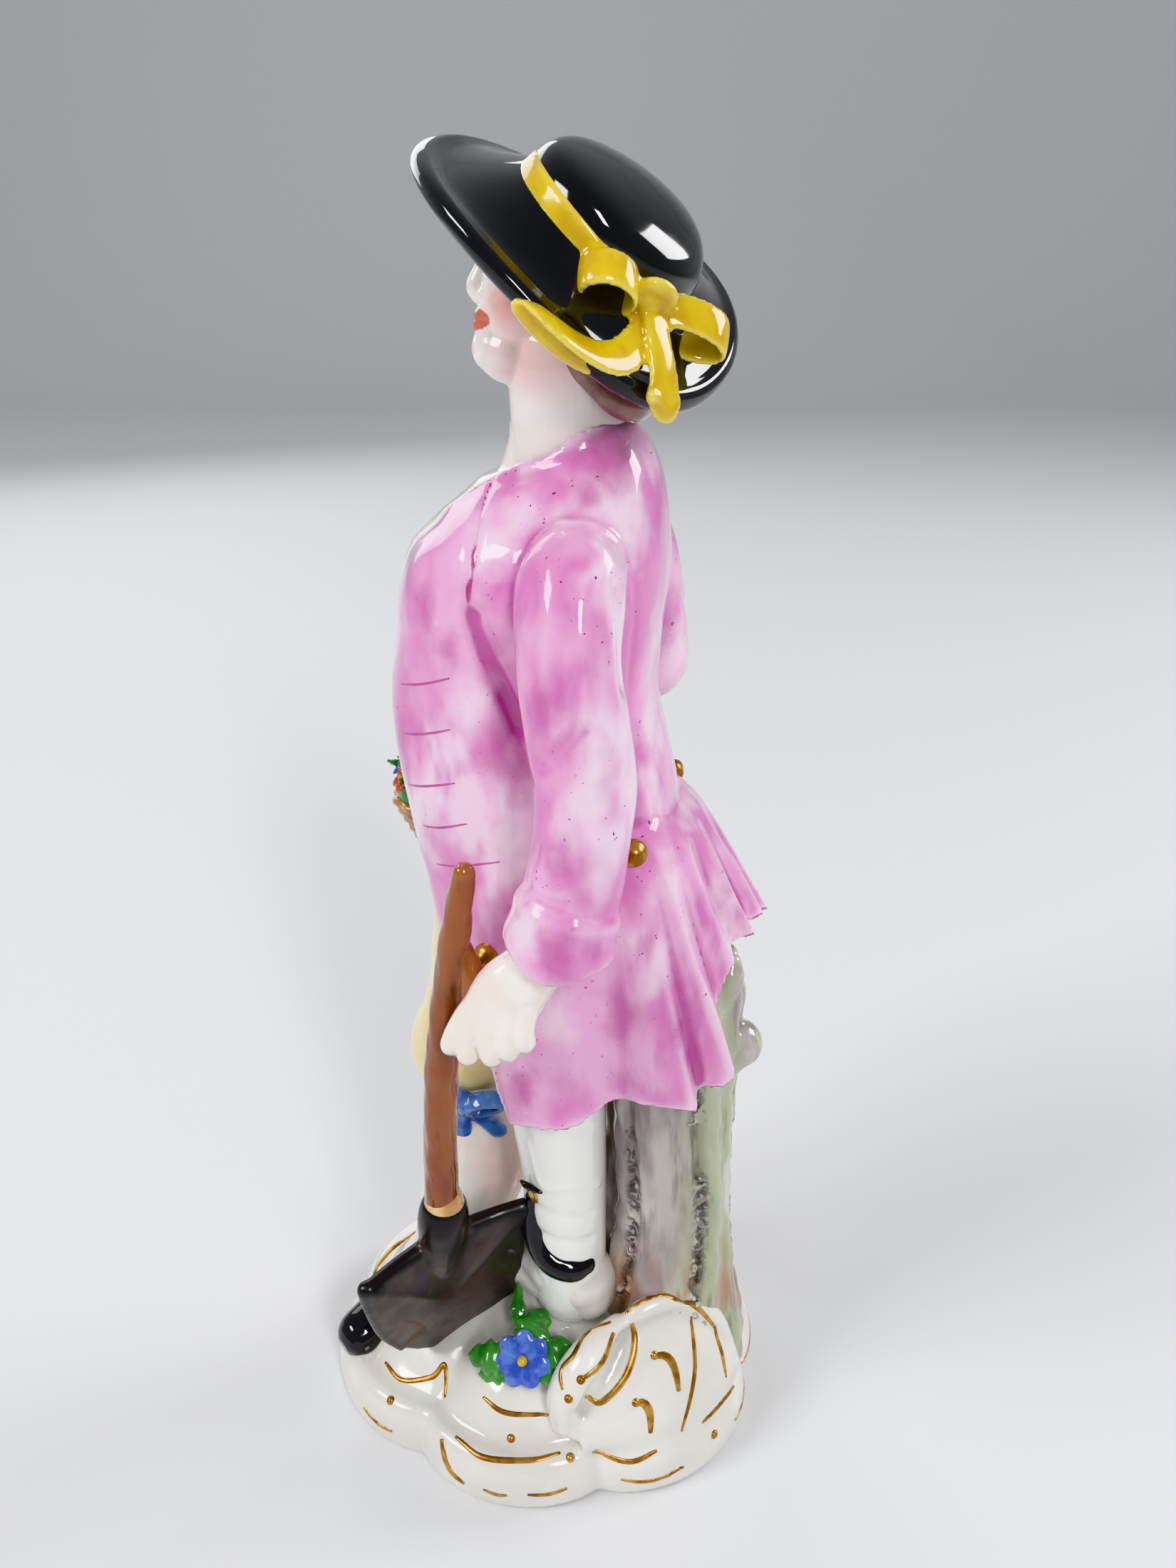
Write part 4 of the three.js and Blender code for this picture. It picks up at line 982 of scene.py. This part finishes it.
def hair_mesh():
    """Hair combed back under the hat into waves that end at the nape."""
    shells = [ball((0, 3.4, 1.4), (8.1, 8.0, 8.6), sides=36, levels=20)]
    locks = 7
    for side in (1, -1):
        for t in np.arange(locks) / (locks - 1):
            start = (6.4 + 0.9 * math.sin(3 * t), -3.4 + 6.4 * t, 4.5 - 1.5 * t, 0.9)
            mid = (8.1 - 1.5 * t, 3.2 + 4.9 * t, -0.6 - 1.4 * t, 1.2)
            low = (6.2 - 2.9 * t, 7.8 + 2.6 * t, -5.6 - 1.0 * t, 1.2)
            end = (4.4 - 2.9 * t, 9.2 + 1.6 * t, -11.6 - 0.8 * t, 0.8)
            shells.append(sweep(mirrored([start, mid, low, end], side), 30, 12))
    shells = [moved(shell, head_turn(), HEAD_CENTRE) for shell in shells]
    for side in (1, -1):
        for low in (0, 1.1, 2.2):
            curl = [(7, 6.6 + low, 168.4 - low, 1.3), (7.1, 9.4 + low, 165.4 - low, 1.6),
                    (5.4, 12.4 + 0.6 * low, 164.2 - low, 1.7), (1, 14.2, 164 - low, 1.7)]
            shells.append(sweep(mirrored(curl, side), 24, 14))
    return fuse(shells, CLAY["hair"], 2, 16)


def hand(palm, wrist, thumb, fingers):
    shells = [sweep(wrist, 18, 24), sweep(palm, 18, 28, flat=0.72, up=(1, 0.25, 0.2))]
    shells += [sweep(stations, 18, 14) for stations in (thumb, *fingers)]
    return fuse(shells, CLAY["skin"], 3, 14)


def near_hand():
    knuckles = [(28.9, -2.0, 88.8), (29.6, 0.9, 89.3), (29.6, 3.3, 89.9), (29.2, 5.4, 90.8)]
    bottoms = [(28.6, -2.2, 84.2), (29.2, 1.2, 85.0), (29.2, 3.5, 86.1), (28.8, 5.5, 87.5)]
    tips = [(25.6, -3.0, 83.8), (26, 0.2, 84.6), (26, 2.6, 85.8), (26, 4.7, 87.4)]
    return hand(
        palm=[(25.6, 6.4, 97.6, 3.5), (26.6, 3.4, 93.6, 4.7), (27.4, 1.2, 90, 4.5)],
        wrist=[(24.8, 8.6, 102, 3.8), (25.3, 6.8, 98, 3.8), (26.2, 4.6, 94.6, 4.0)],
        thumb=[(26.6, 0.8, 94, 1.8), (28, -2.4, 89.6, 1.7), (28.2, -4.4, 85.6, 1.5), (27, -5.0, 83.8, 1.2)],
        fingers=[[(x - 1.2, y + 0.7, z + 2.4, 1.5), (x, y, z - 0.8, 1.55), (*bottom, 1.5), (*tip, 1.25)]
                 for (x, y, z), bottom, tip in zip(knuckles, bottoms, tips)],
    )


def far_hand():
    return hand(
        palm=[(-21.2, -10.4, 99.4, 3.6), (-22.2, -13.6, 96.6, 4.4), (-22.2, -15.8, 94.8, 4.3)],
        wrist=[(-21, -8, 101.6, 3.8), (-21.1, -10.4, 99.4, 3.7), (-21.6, -12.6, 97.4, 3.9)],
        thumb=[(-19.6, -12, 100, 1.7), (-18.4, -15, 100.6, 1.6), (-18, -17.6, 100.8, 1.3)],
        fingers=[[(-24, -14, z, 1.4), (-24, -17.6, z - 0.4, 1.5), (-21.6, -19.8, z - 0.8, 1.4),
                  (-19.4, -19.4, z - 1, 1.2)] for z in (98.6 - 2.1 * i for i in range(4))],
    )


# Hat and ribbon

def hat_frame():
    pitch, roll = math.radians(HAT["pitch"]), math.radians(HAT["roll"])
    front = np.array([0, -math.cos(pitch), math.sin(pitch)])
    up = np.array([0, math.sin(pitch), math.cos(pitch)])
    side = np.array([math.cos(roll), 0, 0]) - math.sin(roll) * up
    return np.stack([side, -front, np.cross(side, -front)], 1)


def on_hat(shell):
    """Puts a shape made round the hat's axis, with its front on -Y, onto the tilted and twisted brim."""
    points = shell[0].copy()
    x, y = points[:, 0], points[:, 1]
    turned = np.where(x > 0, HAT["near_rise"] * x * x, -HAT["far_droop"] * x * x)
    bent = np.where(y < 0, HAT["front_droop"], HAT["back_droop"]) * y * y + HAT["twist"] * x * y
    points[:, 2] += (turned - bent) / HAT["brim"] ** 2
    return moved((points, shell[1]), hat_frame(), HAT["centre"])


def coned(shell):
    """Raises the top of the hat into a cone round the crown, which sits a little towards the back."""
    points = shell[0].copy()
    x, y, z = points.T
    radius = np.hypot(x, y)
    share = np.clip((HAT["brim"] - radius) / (HAT["brim"] - HAT["crown"]), 0, 1)
    towards = np.cos(np.arctan2(x, -y) - math.radians(HAT["cone_towards"]))
    tilt = HAT["cone_tilt"] * np.minimum(1, radius / HAT["crown"]) * towards
    top = smooth((z + 0.4) / 0.8)
    points[:, 1] += HAT["crown_back"] * share * top
    points[:, 2] += (HAT["cone"] + tilt) * share ** HAT["cone_power"] * top
    return points, shell[1]


def hat_mesh():
    b, c = HAT["brim"], HAT["crown"]
    underside = [(0.4, -1), (c * 0.9, -1), (b * 0.7, -0.7), (b * 0.9, -0.5), (b - 1.1, -0.75)]
    rim = [(b - 0.3, -0.4), (b, 0.4), (b - 0.25, 1.25), (b - 1.1, 1.75), (b - 2.1, 1.55), (b * 0.84, 1.3),
           (b * 0.68, 1.35)]
    crown = [(c + 1, 1.4), (c + 0.4, 1.7), (c + 0.2, 2.5), (10.3, 4.2), (8.7, 5.4), (5.8, 6.2), (2.6, 6.6)]
    r, z = catmull([*underside, *rim, *crown, (0.4, 6.7)], 100).T[:, :, None]
    x, y = r * np.cos(circle(160)), r * np.sin(circle(160))
    return mesh_of([on_hat(coned(loft(np.stack([x, y, np.broadcast_to(z, x.shape)], -1))))])


# How far the ribbon round the crown drops on its low side, and the angle from +X of its high side
BAND_DROP = 1.1
BAND_HIGH = -0.5
# Stations of the ribbon's strips in the hat's own frame: x, y, z and half width, or round the hat: radius,
# degrees, height and half width
BRIM_STRIP = [(21.2, 93, 0.5, 1.2), (21.7, 97, 1.2, 1.8), (21.9, 104, 1.5, 2.1), (21.6, 112, 1.7, 2.2),
              (20.7, 121, 2.1, 2.3), (19.0, 129, 2.8, 2.2), (16.6, 136, 3.8, 2.0), (14.4, 141, 4.8, 1.8)]
BRIM_ROLL = [(21.9, a, -0.1 + 0.01 * (a - 92), r)
             for a, r in ((93, 0.9), (98, 1.2), (105, 1.2), (112, 0.9), (118, 0.4))]
TAIL = [(8.4, 11, 5.8, 1.8), (10.6, 13.8, 4.9, 2.0), (12.2, 16.2, 3.7, 2.3), (13.2, 17.8, 2.4, 2.7)]
TAIL_HEM = [(11.4, 19.0, 2.1, 0.8), (13.4, 18.1, 1.9, 0.9), (15.2, 16.8, 2.3, 0.8)]
KNOT_STRAP = [(9.6, 8.6, 6.2, 1.0), (9.2, 10.2, 8.0, 1.2), (7.8, 11.8, 7.8, 1.2), (7.4, 12.2, 5.6, 1.0)]


def round_hat(stations):
    """Stations given by radius, degrees from the front and height, as points."""
    return [(r * math.sin(math.radians(a)), -r * math.cos(math.radians(a)), z, w) for r, a, z, w in stations]


def bow_loop(centre, along, up, long, high, wide, rings=44):
    """A closed loop of flat band. along and up span the plane it turns in, and its width lies across."""
    thick = 0.5
    along = unit(along)
    across = unit(np.cross(along, up))
    up = np.cross(across, along)
    s = np.sin(circle(12))[:, None]
    edge = wide * np.cos(circle(12))[:, None] * across
    face = thick * np.sign(s) * np.abs(s) ** 0.6
    path = []
    for a in circle(rings):
        middle = np.asarray(centre, float) + long * math.cos(a) * along + high * math.sin(a) * up
        out = unit(math.cos(a) / long * along + math.sin(a) / high * up)
        path.append(middle + edge + face * out)
    return loft(path, closed=True)


def ribbon_mesh():
    section = [(10.7, 0.9), (12.0, 0.8), (12.1, 1.4), (11.8, 2.2), (11.4, 3.1), (10.6, 3.3), (9.6, 2.6)]
    crown_band = [[(r * math.cos(a), r * math.sin(a), z - BAND_DROP * (1 - math.cos(a - BAND_HIGH)))
                   for r, z in section] for a in circle(96)]
    shells = [
        coned(loft(crown_band, closed=True)),
        sweep(round_hat(BRIM_STRIP), 44, 16, 0.26, up=(0, 0, 1)),
        sweep(TAIL, 30, 16, 0.26, up=(0.3, 0.3, 0.9)),
        sweep(TAIL_HEM, 14, 12),
        sweep(round_hat(BRIM_ROLL), 24, 14),
        bow_loop((11.6, 6.0, 5.4), (-0.4, 0.79, 0.45), (0.5, -0.2, 0.85), 3.2, 2.4, 2.3),
        bow_loop((4.4, 15.2, 5.2), (-0.5, 0.86, 0.2), (0.4, -0.1, 0.9), 4.6, 2.3, 2.2),
        ball((8.2, 9.9, 6.0), (2.1, 2.0, 2.1)),
        sweep(KNOT_STRAP, 16, 12, 0.7),
    ]
    return fuse([on_hat(shell) for shell in shells], CLAY["ribbon"], 2, 14)


# Legs and shoes

def breeches_mesh():
    seat = [(-5, -4, 95, 11), (-6.4, -6.5, 84, 11.8), (-7.2, -9, 72, 11)]
    hips = ball((-1, -2, 86), (13, 11.5, 13), sides=40, levels=24)
    shells = [sweep(FAR_THIGH, 40, 44), hips, sweep(seat, 30, 40)]
    mesh = fuse(shells, CLAY["cloth"], 5)
    for z, depth in ((66, 0.35), (74, 0.3), (81, 0.3)):
        crease(mesh, [(-17, -14, z - 2), (-8, -22, z), (3, -15, z + 3)], 1.2, depth)
    relief(mesh)
    return mesh


def stocking_mesh():
    mesh = fuse([sweep(FAR_CALF, 40, 40), sweep(NEAR_LEG, 40, 40)], CLAY["cloth"], 3)
    for z, depth in ((62, 0.25), (45, 0.3), (40, 0.35), (34, 0.3)):
        crease(mesh, [(2, 1, z + 1), (9, -1.5, z + 1.4), (14.6, 5, z), (12, 11, z - 1)], 0.9, depth)
    crease(mesh, SIDE_LINE, 0.5, -0.35)
    co = points_of(mesh)
    field(mesh, "seam", distance(co, catmull(SIDE_LINE, 40)))
    field(mesh, "near", co[:, 0])
    relief(mesh)
    return mesh


def shoes_mesh():
    shells = [sweep(FAR_SHOE, 30, 30), sweep(SHOE_BAND, 40, 22), sweep(STRAP, 20, 12)]
    return fuse(shells, CLAY["shoes"], 2, 24)


def garter_mesh():
    knot = np.array([2.9, -11.8, 53.6])
    ends = [[(2.6, -12.6, 51, 1.5), (2.2, -13, 47.6, 1.8)], [(2.3, -9.2, 51, 1.5), (1.4, -7.2, 48.4, 1.7)]]
    shells = [
        ball(knot, (1.5, 1.6, 1.6)),
        bow_loop(knot + (-0.2, -1.9, 1.2), (0.1, -0.9, 0.4), (0.6, 0.3, 0.8), 2.1, 1.6, 1.6, 32),
        bow_loop(knot + (-0.3, 2.9, 0.9), (-0.15, 0.95, 0.2), (0.6, -0.3, 0.8), 2.9, 1.6, 1.6, 32),
        *(sweep([(*knot, 1.3), *end], 20, 12, 0.35, up=(1, 0, 0.2)) for end in ends),
    ]
    return fuse(shells, CLAY["garter"], 2, 14)


# Spade

def on_shaft(share):
    """The point of the straight line from the shaft's foot to its top at a share of its length."""
    foot = np.array(SHAFT_FOOT, float)
    return foot + (SHAFT_TOP - foot) * share


def shaft_mesh():
    bow = np.array([0, -SHAFT_BOW, 0])
    radii = ((0, 1.5), (0.14, 1.9), (0.28, 2.1), (0.45, 2.25), (0.6, 2.35), (0.8, 2.45), (1, 2.6))
    stations = [(*(on_shaft(1 - t) + bow * math.sin(math.pi * t)), r) for t, r in radii]
    fork = [(24.6, -3.6, 98, 1.2), (25.3, -2.2, 94, 1.7), (25, -2.6, 89.4, 1.8), (24, -4.2, 85, 1.6)]
    mesh = fuse([sweep(stations, 70, 28), sweep(fork, 24, 16)], CLAY["shaft"], 2)
    push(mesh, 0.12 * waves(points_of(mesh) * (1, 1, 0.4), 2.6, 8))
    relief(mesh, 14)
    return mesh


def ring_mesh():
    rings = [(*on_shaft(share), r) for share, r in ((0.03, 3.5), (0.045, 3.4), (0.07, 2.9))]
    return fuse([sweep(rings, 12, 30)], CLAY["ring"], 2, 8)


def blade_mesh():
    across, down = unit(BLADE["across"]), unit(BLADE["down"])
    facing = np.cross(across, down)
    half, length = BLADE["half"], BLADE["length"]

    def at(u, v, bend=0.0):
        """A point u half widths to the right and v millimetres down, bent back by bend at the edge."""
        return BLADE["middle"] + across * half * u + down * v - facing * bend * u * u

    u, v = np.array(BLADE_OUTLINE, float).T
    dish = np.outer(-(2.2 * u * u - 1.2 * v), facing)
    flat = np.outer(u * half, across) + np.outer(v * length, down)
    rings = [BLADE["middle"] + flat * grow + dish + out * facing
             for grow, out in ((0.96, -1.4), (1.0, -0.8), (1.0, 0.8), (0.96, 1.4))]
    socket = [(*on_shaft(0.035), 3.7), (*on_shaft(0), 3.8), (*at(0, 0), 3.5), (*at(0, 7), 2.2),
              (*at(0, 12), 0.9)]
    shells = [loft(rings), sweep(socket, 30, 28)]
    for side in (-1, 1):
        lip = ((0.25, 0.5, 1.5), (0.6, 0.4, 1.35), (0.97, -0.2, 1.2))
        shells.append(sweep([(*at(side * k, d, 2.2), r) for k, d, r in lip], 20, 16))
    rolled = [(*at(-k, length * d, 1.8), r)
              for k, d, r in ((1, 0, 1.3), (0.94, 0.18, 1.2), (0.8, 0.47, 1.0), (0.56, 0.74, 0.6))]
    shells.append(sweep(rolled, 24, 14))
    mesh = fuse(shells, CLAY["blade"], 3, 24)
    # How far right across the blade, for its painted reflection
    field(mesh, "right", points_of(mesh) @ across)
    return mesh


# Flowers and basket

def flower_head(centre, out, size, petals=5):
    """A flower of round petals in a ring about out, and its middle."""
    turn = frame_of(out, (0, 0.3, 1))
    side, up, out = turn.T
    centre = np.asarray(centre, float)
    shells = []
    for a in circle(petals) + 0.3:
        place = centre + size * 0.8 * (side * math.cos(a) + up * math.sin(a))
        radii = size * np.array([0.8, 0.64, 0.25])
        shells.append(ball(place, radii, turn @ rotation("Z", math.degrees(a)), sides=18, levels=10))
    return shells, ball(centre + out * size * 0.2, size * 0.3, sides=16, levels=10)


def leaf(root, tip, out, wide):
    """A pointed leaf with lobes down its sides and a raised rib down its middle."""
    root, tip = np.asarray(root, float), np.asarray(tip, float)
    out = unit(out)
    line = catmull([root, root * 0.6 + tip * 0.4 + out * 0.6, tip], 7)
    widths = (0.35, 0.95, 0.74, 1.0, 0.66, 0.62, 0.12)
    blade = sweep([(*p, wide * w) for p, w in zip(line, widths)], 30, 14, 0.3, up=out)
    rib = sweep([(*(p + out * 0.25), 0.26) for p in line], 20, 8)
    return [blade, rib]


def posies():
    petals, middles, leaves = [], [], []
    for posy in POSIES:
        ring, middle = flower_head(posy["centre"], posy["out"], posy["size"], 7)
        petals += ring
        middles.append(middle)
        for root, tip, wide in posy["leaves"]:
            leaves += leaf(root, tip, np.array(posy["out"]) + (0, 0, 0.6), wide)
    return petals, middles, leaves


def basket_level(reach, height, count):
    """A level ring of the basket, which is a little narrower across the figure."""
    x, y, z = BASKET["centre"]
    a = circle(count)
    return np.stack([x + 0.85 * reach * np.cos(a), y + reach * np.sin(a), np.full(count, z + height)], -1)


def wicker_mesh():
    radius, height, rows, count = BASKET["radius"], BASKET["height"], 9, 96
    a = circle(count)
    section = circle(8)[:, None]
    weave = []
    for row in range(rows):
        reach = radius * (0.5 + 0.4 * row / (rows - 1)) + 0.3 * np.cos(12 * a + math.pi * row)
        line = basket_level(reach, height * row / rows, count)
        strand = [point + 0.68 * (np.cos(section) * (c, s, 0) + np.sin(section) * (0, 0, 1))
                  for point, c, s in zip(line, np.cos(a), np.sin(a))]
        weave.append(loft(strand, closed=True))
    levels = ((-0.4, 0.46), (0, 0.5), (height * 0.9, 0.88), (height, 0.8))
    body = loft([basket_level(radius * grow, h, 40) for h, grow in levels])
    return fuse([*weave, body], CLAY["wicker"], 1, 10)


def bunch():
    """The basket's flowers and leaves, spread over a green dome that counts among the leaves."""
    height = BASKET["height"]
    centre = np.array(BASKET["centre"])
    petals, middles, leaves = [], [], []
    for i in range(BUNCH):
        turn, r = i * 2.4, 7.2 * math.sqrt(i / BUNCH)
        lift = 6.6 * math.cos(r / 7.6 * 1.35)
        place = centre + (r * 0.85 * math.cos(turn), 1.06 * r * math.sin(turn), height + 1.2 + lift)
        out = unit(place - centre - (0, 0, height - 1))
        ring, middle = flower_head(place, out, 1.65)
        petals.append(ring)
        middles.append(middle)
        beside = turn + 1.1
        away = np.array([0.85 * math.cos(beside), math.sin(beside), 0.2])
        root = place - out * 1.4
        leaves += leaf(root, root + unit(away + out * 0.6) * 3.8, out, 1.3)
    dome = ((-1.5, 6), (0, 7.4), (2.4, 7.2), (5, 5.6), (6.8, 3), (7.3, 0.6))
    leaves.append(loft([basket_level(reach, height + h, 32) for h, reach in dome]))
    return petals, middles, leaves


# Gilding and painted strokes that stand a little proud of the surface

def stroke(surface, path, wide, height=0.16, count=36):
    """A flattened strand on the surface along a path near it, tapered at both ends."""
    spots = [surface.find_nearest(Vector(p))[:2] for p in catmull(path, count)]
    centre, normal = np.array([s[0] for s in spots]), unit(np.array([s[1] for s in spots]))
    tangent = unit(np.gradient(centre, axis=0) + 1e-9)
    across = unit(np.cross(tangent, normal))
    width = wide * (0.3 + 0.7 * np.sin(np.linspace(0.15, math.pi - 0.15, count)) ** 0.6)
    c, s = np.cos(circle(10))[None, :, None], np.sin(circle(10))[None, :, None]
    edge, face = (width / 2)[:, None] * across, height * normal
    return loft(centre[:, None] + c * edge[:, None] + s * face[:, None])


def dot(surface, place, size):
    hit, normal = surface.find_nearest(Vector(place))[:2]
    return ball(np.array(hit) - np.array(normal) * size * 0.35, size, sides=12, levels=8)


def base_strokes(surface):
    """Gilt lines inside and below each lobe, and scrolls on the big panels."""
    shells = []
    for side in (1, -1):
        shells += [stroke(surface, mirrored(path, side), wide) for path, wide in LOBE_LINES + PANEL_LINES]
        shells += [dot(surface, place, 0.75) for place in mirrored(LOBE_DOTS + PANEL_DOTS, side)]
    return mesh_of(shells)


def coat_strokes(surface):
    """Painted buttonholes across the near and far sides of the front."""
    paths = [mirrored(path, side) for side in (1, -1) for path in BUTTONHOLES]
    return mesh_of([stroke(surface, path, 0.36, 0.06, 20) for path in paths])


def button_mesh(coat):
    spots = [(*coat.find_nearest(Vector(place))[:2], 1.9) for place in BUTTONS]
    spots += [(front_of(coat, -6.0, z), (-0.2, -1, 0.05), 1.0) for z in FRONT_BUTTONS]
    shells = []
    for hit, out, size in spots:
        turn = frame_of(out, (0, 0, 1))
        hit, out = np.array(hit), turn[:, 2]
        shells.append(ball(hit + out * size * 0.1, size * np.array([1, 1, 0.75]), turn))
        shells.append(ball(hit + out * size * 0.62, size * np.array([0.55, 0.55, 0.35]), turn))
    return fuse(shells, CLAY["petals"], 2, 10)


def buckle_mesh(leg):
    """A ring of gilt beads on the near leg."""
    ring = [np.array(BUCKLE) + (0, 1.1 * math.cos(a), 1.3 * math.sin(a)) for a in circle(10)]
    return fuse([dot(leg, place, 0.55) for place in ring], CLAY["buckle"], 1)


# All the pieces

def tree_of(mesh):
    return BVHTree.FromPolygons([v.co for v in mesh.vertices], [tuple(p.vertices) for p in mesh.polygons])


def figure():
    white, gold, black = white_glaze(), gold_glaze(), black_glaze()
    coat, base, stockings = coat_mesh(), base_mesh(), stocking_mesh()
    coat_tree, base_tree, leg_tree = tree_of(coat), tree_of(base), tree_of(stockings)
    trim, buttons, head = coat_strokes(coat_tree), button_mesh(coat_tree), head_mesh(coat_tree)
    gilding, skin = base_strokes(base_tree), enamel("hand_glaze")
    piece("coat", coat, coat_glaze())
    piece("coat_trim", trim, enamel("trim_glaze"))
    piece("buttons", buttons, gold)
    piece("base", base, white)
    piece("base_gilding", gilding, gold)
    piece("stump", stump_mesh(), bark_glaze())
    piece("head", head, skin_glaze())
    piece("hair", hair_mesh(), enamel("hair_glaze"))
    piece("hand_near", near_hand(), skin)
    piece("hand_far", far_hand(), skin)
    piece("hat", hat_mesh(), black)
    piece("hat_ribbon", ribbon_mesh(), yellow_glaze())
    piece("breeches", breeches_mesh(), enamel("breeches_glaze"))
    buckle = buckle_mesh(leg_tree)
    piece("stockings", stockings, stocking_glaze())
    piece("shoes", shoes_mesh(), black)
    piece("buckle", buckle, gold)
    piece("garter_bow", garter_mesh(), enamel("blue_glaze"))
    piece("spade_shaft", shaft_mesh(), shaft_glaze())
    piece("spade_blade", blade_mesh(), blade_glaze())
    piece("spade_ring", ring_mesh(), enamel("cream_glaze"))


def flowers():
    petals, middles, leaves = posies()
    bunch_petals, bunch_middles, bunch_leaves = bunch()
    groups = {"pink": [], "red": [], "cream": [], "blue": list(petals)}
    for i, shells in enumerate(bunch_petals):
        groups[("pink", "cream", "red", "blue")[i % 4]] += shells
    for name, shells in groups.items():
        petals = fuse(shells, CLAY["petals"], 1, 10)
        piece(f"petals_{name}", petals, enamel(f"petal_{name}"))
    hearts = fuse(middles + bunch_middles, CLAY["petals"], 1, 8)
    foliage = fuse(leaves + bunch_leaves, CLAY["leaves"], 1, 10)
    piece("flower_hearts", hearts, enamel("heart_glaze"))
    piece("leaves", foliage, enamel("leaf_glaze"))
    piece("basket", wicker_mesh(), enamel("wicker_glaze"))


# Floor, light and camera

def stage():
    """A pale floor that turns up into a pale wall, in metres."""
    wide, near, far, high, bend = 2.2, -1.6, 2.2, 1.8, 0.7
    toward = Vector((-0.977, -0.212, 0))
    across = Vector((toward.y, -toward.x, 0))
    profile = [(near, 0), (far - bend, 0)]
    profile += [(far - bend + bend * math.sin(a), bend * (1 - math.cos(a)))
                for a in np.linspace(0.1, math.pi / 2, 14)]
    profile.append((far, high))
    points = [tuple(toward * d + across * s * wide + Vector((0, 0, h)))
              for d, h in profile for s in (-1, 1)]
    faces = [(2 * i, 2 * i + 1, 2 * i + 3, 2 * i + 2) for i in range(len(profile) - 1)]
    mesh = bpy.data.meshes.new("floor")
    mesh.from_pydata(points, [], faces)
    mesh.shade_smooth()
    material = bpy.data.materials.new("floor_paint")
    material.use_nodes = True
    shader = material.node_tree.nodes["Principled BSDF"]
    shader.inputs["Base Color"].default_value = linear((226, 227, 229))
    shader.inputs["Roughness"].default_value = 0.6
    mesh.materials.append(material)
    add_object("floor", mesh)


# Where the lights point, in metres
LIGHT_TARGET = (0, 0, 0.1)


def area_light(name, place, size, power):
    data = bpy.data.lights.new(name, "AREA")
    data.shape = "RECTANGLE"
    data.size, data.size_y = size
    data.energy = power
    light = add_object(name, data)
    light.location = place
    light.rotation_euler = (Vector(LIGHT_TARGET) - Vector(place)).to_track_quat("-Z", "Y").to_euler()


def lights():
    area_light("key", (0.55, -0.75, 0.85), (0.5, 0.35), 6.4)
    area_light("window", (0.75, 0.5, 0.75), (0.16, 0.4), 4.5)
    area_light("fill", (-0.7, -0.6, 0.5), (0.7, 0.5), 2)
    area_light("rim", (-0.5, 0.8, 0.6), (0.4, 0.4), 4)
    world = bpy.data.worlds.new("studio")
    world.use_nodes = True
    world.node_tree.nodes["Background"].inputs["Color"].default_value = (0.8, 0.81, 0.83, 1)
    world.node_tree.nodes["Background"].inputs["Strength"].default_value = 0.5
    bpy.context.scene.world = world
    bpy.context.scene.view_settings.view_transform = "Khronos PBR Neutral"


# The photograph's camera: place in millimetres, the way it looks, and its lens for a 36 mm long side
CAMERA_PLACE = (146.768, 39.326, 177.747)
CAMERA_FORWARD = (-0.8927, -0.1939, -0.4067)
CAMERA_RIGHT = (-0.2123, 0.9772, 0.0)
CAMERA_LENS = 27.0


def camera():
    data = bpy.data.cameras.new("camera")
    data.sensor_width = 36
    data.lens = CAMERA_LENS
    data.clip_start = 0.01
    obj = add_object("camera", data)
    forward, right = Vector(CAMERA_FORWARD).normalized(), Vector(CAMERA_RIGHT).normalized()
    turn = Matrix((right, right.cross(forward), -forward)).transposed()
    obj.matrix_world = Matrix.Translation(Vector(CAMERA_PLACE) * MM) @ turn.to_4x4()
    bpy.context.scene.camera = obj


figure()
flowers()
stage()
lights()
camera()
